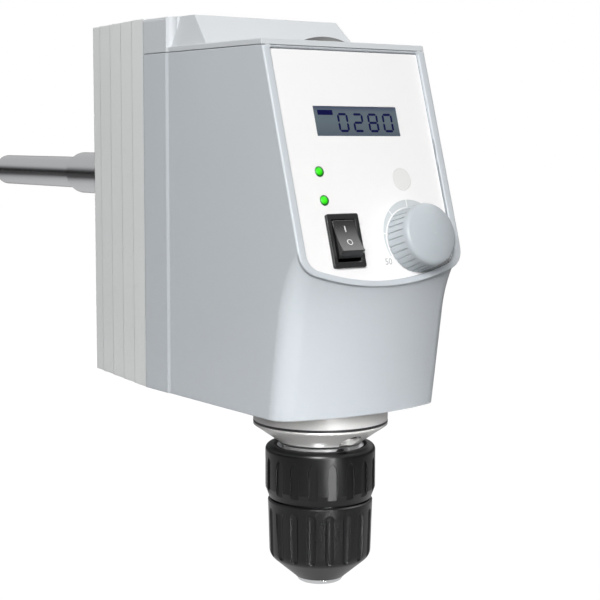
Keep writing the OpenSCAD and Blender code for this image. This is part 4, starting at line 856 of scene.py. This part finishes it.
class STIRRER_OT_drive(bpy.types.Operator):
    """Finish the spindle, bearings, belt drive and motor inside"""
    bl_idname = "stirrer.drive"
    bl_label = "Drive"

    def execute(self, context):
        centre = tuple(centre_of("spindle"))
        motor = tuple(centre_of("motor_rotor"))
        dress("spindle", turned("Ground spindle steel", linear(200, 201, 205), 0.2, centre))
        bearing = turned("Bearing steel", linear(196, 198, 202), 0.18, centre)
        for node in ("lower_bearing", "upper_bearing"):
            dress(node, bearing)
        dress("spindle_pulley", turned("Pulley alloy", linear(200, 202, 205), 0.3, centre))
        dress("motor_pulley", turned("Motor pulley alloy", linear(200, 202, 205), 0.3, motor))
        dress("pulley_ring", turned("Ring steel", linear(70, 70, 74), 0.35, centre))
        dress("motor_rotor", turned("Rotor steel", linear(170, 172, 176), 0.25, motor))
        dress("motor_stator", powder_coat("Motor paint", linear(92, 95, 100)))
        alloy = brushed("Plate alloy", linear(196, 198, 202), 0.34, (0.04, 1.0, 1.0))
        dress("motor_plate", alloy)
        dress("plate_pillars", alloy)
        inner = turned("Inner screw steel", linear(185, 187, 190), 0.3)
        for node in ("plate_screws", "motor_screws", "board_screws"):
            dress(node, inner)
        belt = Finish("Belt rubber", linear(24, 24, 25), 0.7)
        cloth = belt.noise(1500, 3.0)
        belt.tinted(cloth, 0.3)
        belt.relief(cloth, 0.00005, 0.6)
        dress("drive_belt", belt.material)
        for node, name in (("control_board", "Control board"), ("power_board", "Power board")):
            board = Finish(name, linear(16, 92, 52), 0.3)
            cells = board.node("ShaderNodeTexVoronoi", Vector=board.place, Scale=260.0).out("Distance")
            board.set("Base Color", board.mix((cells > 0.42) * 0.6, linear(14, 82, 46), linear(40, 128, 74)))
            board.set("Roughness", cells * 0.2 + 0.22)
            dress(node, board.material)
        return {"FINISHED"}


class STIRRER_OT_stage(bpy.types.Operator):
    """Set up the pale floor and backdrop, the soft lights and the camera"""
    bl_idname = "stirrer.stage"
    bl_label = "Studio"

    def execute(self, context):
        scene = bpy.context.scene
        low, high = CAD_BOX
        self.white_floor(low.z - sizes().floor_drop)
        self.world()
        self.area("Key light", (-0.95, -1.36, 0.6), (0.0, -0.22, -0.02), 0.6, 28.5)
        self.area("Top light", (-0.2, -0.1, 1.3), (0.0, -0.15, 0.0), 1.0, 1.9)
        self.area("Back light", (0.75, 1.35, 0.22), (0.0, 0.0, -0.05), 0.6, 24.0, mirrored=False)
        self.area("Low light", (-0.26, -1.3, -0.23), (0.0, -0.25, -0.15), 0.16, 0.043, spread=14)
        self.camera()
        scene.view_settings.view_transform = "Standard"
        return {"FINISHED"}

    def white_floor(self, height):
        """Large plane that the camera sees as white, dimmed where it is shaded, and clear from below.

        Gloss sees part of the white near the model and less and less of it farther out.
        """
        side, glow_strength, glow_share, gloss_share = 6.0, 1.14, 0.88, 0.6
        corners = ((-side, -side), (side, -side), (side, side), (-side, side))
        mesh = bpy.data.meshes.new("floor")
        mesh.from_pydata([(x, y, height) for x, y in corners], [], [(0, 1, 2, 3)])
        floor = bpy.data.objects.new("floor", mesh)
        bpy.context.scene.collection.objects.link(floor)
        finish = Finish("Floor white", (0.12, 0.12, 0.12, 1.0), 0.9)
        tree = finish.tree
        path = finish.node("ShaderNodeLightPath")
        parts = finish.node("ShaderNodeSeparateXYZ", Vector=finish.place)
        far = (parts.out("X") * parts.out("X") + parts.out("Y") * parts.out("Y")) ** 0.5
        near = 1 - self.blend(tree, far, 0.5, 1.5, 0.0, 0.97)
        seen = path.out("Is Camera Ray").maths("MAXIMUM", path.out("Is Glossy Ray") * near * gloss_share)
        glow = finish.node("ShaderNodeEmission", Color=(1.0, 1.0, 1.0, 1.0), Strength=glow_strength)
        mixed = finish.node("ShaderNodeMixShader")
        connect(tree, seen * glow_share, mixed.raw.inputs[0])
        tree.links.new(finish.shader.outputs[0], mixed.raw.inputs[1])
        tree.links.new(glow.raw.outputs[0], mixed.raw.inputs[2])
        output = next(n for n in tree.nodes if n.type == "OUTPUT_MATERIAL")
        clear = finish.node("ShaderNodeBsdfTransparent")
        sided = finish.node("ShaderNodeMixShader")
        connect(tree, finish.node("ShaderNodeNewGeometry").out("Backfacing"), sided.raw.inputs[0])
        tree.links.new(mixed.raw.outputs[0], sided.raw.inputs[1])
        tree.links.new(clear.raw.outputs[0], sided.raw.inputs[2])
        tree.links.new(sided.raw.outputs[0], output.inputs["Surface"])
        mesh.materials.append(finish.material)

    def world(self):
        """White for the camera, a soft fill on the surfaces, and for gloss a dark band at eye level.

        Gloss also has a bright patch high up on the east side.
        """
        fill = 0.03
        world = bpy.data.worlds.new("Studio")
        bpy.context.scene.world = world
        world.use_nodes = True
        tree = world.node_tree
        tree.nodes.clear()
        path = tree.nodes.new("ShaderNodeLightPath")
        glossy, seen = Wire(tree, path.outputs["Is Glossy Ray"]), Wire(tree, path.outputs["Is Camera Ray"])
        through = Wire(tree, path.outputs["Is Transmission Ray"])
        way = tree.nodes.new("ShaderNodeTexCoord")
        parts = tree.nodes.new("ShaderNodeSeparateXYZ")
        tree.links.new(way.outputs["Generated"], parts.inputs[0])
        east, up = (Wire(tree, parts.outputs[axis]) for axis in "XZ")
        sheen = self.blend(tree, abs(up), 0.04, 0.3, 0.03, 0.6)
        sheen = sheen + self.blend(tree, up, 0.5, 0.8, 0.0, 3.5) * self.blend(tree, east, 0.2, 0.6, 0.0, 1.0)
        bright = seen.maths("MAXIMUM", through)
        strength = bright + (1 - bright) * (glossy * sheen + (1 - glossy) * fill)
        sky = tree.nodes.new("ShaderNodeBackground")
        sky.inputs["Color"].default_value = (1.0, 1.0, 1.0, 1.0)
        connect(tree, strength, sky.inputs["Strength"])
        output = tree.nodes.new("ShaderNodeOutputWorld")
        tree.links.new(sky.outputs[0], output.inputs["Surface"])

    def blend(self, tree, value, start, end, low, high):
        """Runs smoothly from a low to a high value while another one goes from start to end."""
        ramp = tree.nodes.new("ShaderNodeMapRange")
        ramp.interpolation_type = "SMOOTHSTEP"
        connect(tree, value, ramp.inputs["Value"])
        for key, number in (("From Min", start), ("From Max", end), ("To Min", low), ("To Max", high)):
            ramp.inputs[key].default_value = number
        return Wire(tree, ramp.outputs["Result"])

    def area(self, name, place, target, size, power, spread=180, mirrored=True):
        """Square soft light that looks at a target: spread limits its beam, mirrored lets gloss show it."""
        lamp = bpy.data.lights.new(name, "AREA")
        lamp.size, lamp.energy, lamp.spread = size, power, math.radians(spread)
        rig = bpy.data.objects.new(name, lamp)
        rig.location = place
        rig.visible_glossy = mirrored
        rig.rotation_euler = (Vector(target) - Vector(place)).to_track_quat("-Z", "Y").to_euler()
        bpy.context.scene.collection.objects.link(rig)

    def camera(self):
        """Camera fitted to the photograph: place, yaw, pitch, roll and focal length."""
        yaw, pitch, roll = (math.radians(a) for a in (35.81, 6.23, 0.143))
        place, sensor, focal_pixels, picture_pixels = (-0.3573, -0.73165, 0.01748), 36.0, 1474.8, 600
        forward = Vector((math.sin(yaw) * math.cos(pitch), math.cos(yaw) * math.cos(pitch), -math.sin(pitch)))
        right = Vector((math.cos(yaw), -math.sin(yaw), 0.0))
        up = right.cross(forward)
        turned_right = right * math.cos(roll) + up * math.sin(roll)
        turned_up = up * math.cos(roll) - right * math.sin(roll)
        lens = bpy.data.cameras.new("Camera")
        lens.sensor_width, lens.sensor_fit = sensor, "HORIZONTAL"
        lens.lens = focal_pixels / picture_pixels * sensor
        lens.clip_start, lens.clip_end = 0.01, 30.0
        rig = bpy.data.objects.new("Camera", lens)
        turn = Matrix((turned_right, turned_up, -forward)).transposed()
        rig.matrix_world = Matrix.Translation(place) @ turn.to_4x4()
        bpy.context.scene.collection.objects.link(rig)
        bpy.context.scene.camera = rig


STEPS = ("shells", "label", "display", "lamps", "switch", "knob", "collar", "chuck", "rod", "rear", "top",
         "drive", "stage")


class STIRRER_PT_sidebar(bpy.types.Panel):
    """Lists the steps and the values they use"""
    bl_label = "Stirrer"
    bl_idname = "STIRRER_PT_sidebar"
    bl_space_type = "VIEW_3D"
    bl_region_type = "UI"
    bl_category = "Stirrer"

    def draw(self, context):
        for step in STEPS:
            self.layout.operator(f"stirrer.{step}")
        for group in (context.scene.stirrer_sizes, context.scene.stirrer_colours):
            for key in group.bl_rna.properties.keys():
                if key not in ("rna_type", "name"):
                    self.layout.prop(group, key)


CLASSES = (StirrerSizes, StirrerColours, STIRRER_OT_shells, STIRRER_OT_label, STIRRER_OT_display,
           STIRRER_OT_lamps, STIRRER_OT_switch, STIRRER_OT_knob, STIRRER_OT_collar, STIRRER_OT_chuck,
           STIRRER_OT_rod, STIRRER_OT_rear, STIRRER_OT_top, STIRRER_OT_drive, STIRRER_OT_stage,
           STIRRER_PT_sidebar)


def register():
    for kind in CLASSES:
        bpy.utils.register_class(kind)
    bpy.types.Scene.stirrer_sizes = bpy.props.PointerProperty(type=StirrerSizes)
    bpy.types.Scene.stirrer_colours = bpy.props.PointerProperty(type=StirrerColours)


def unregister():
    del bpy.types.Scene.stirrer_sizes
    del bpy.types.Scene.stirrer_colours
    for kind in reversed(CLASSES):
        bpy.utils.unregister_class(kind)


def main():
    register()
    for step in STEPS:
        getattr(bpy.ops.stirrer, step)()


if __name__ == "__main__":
    main()
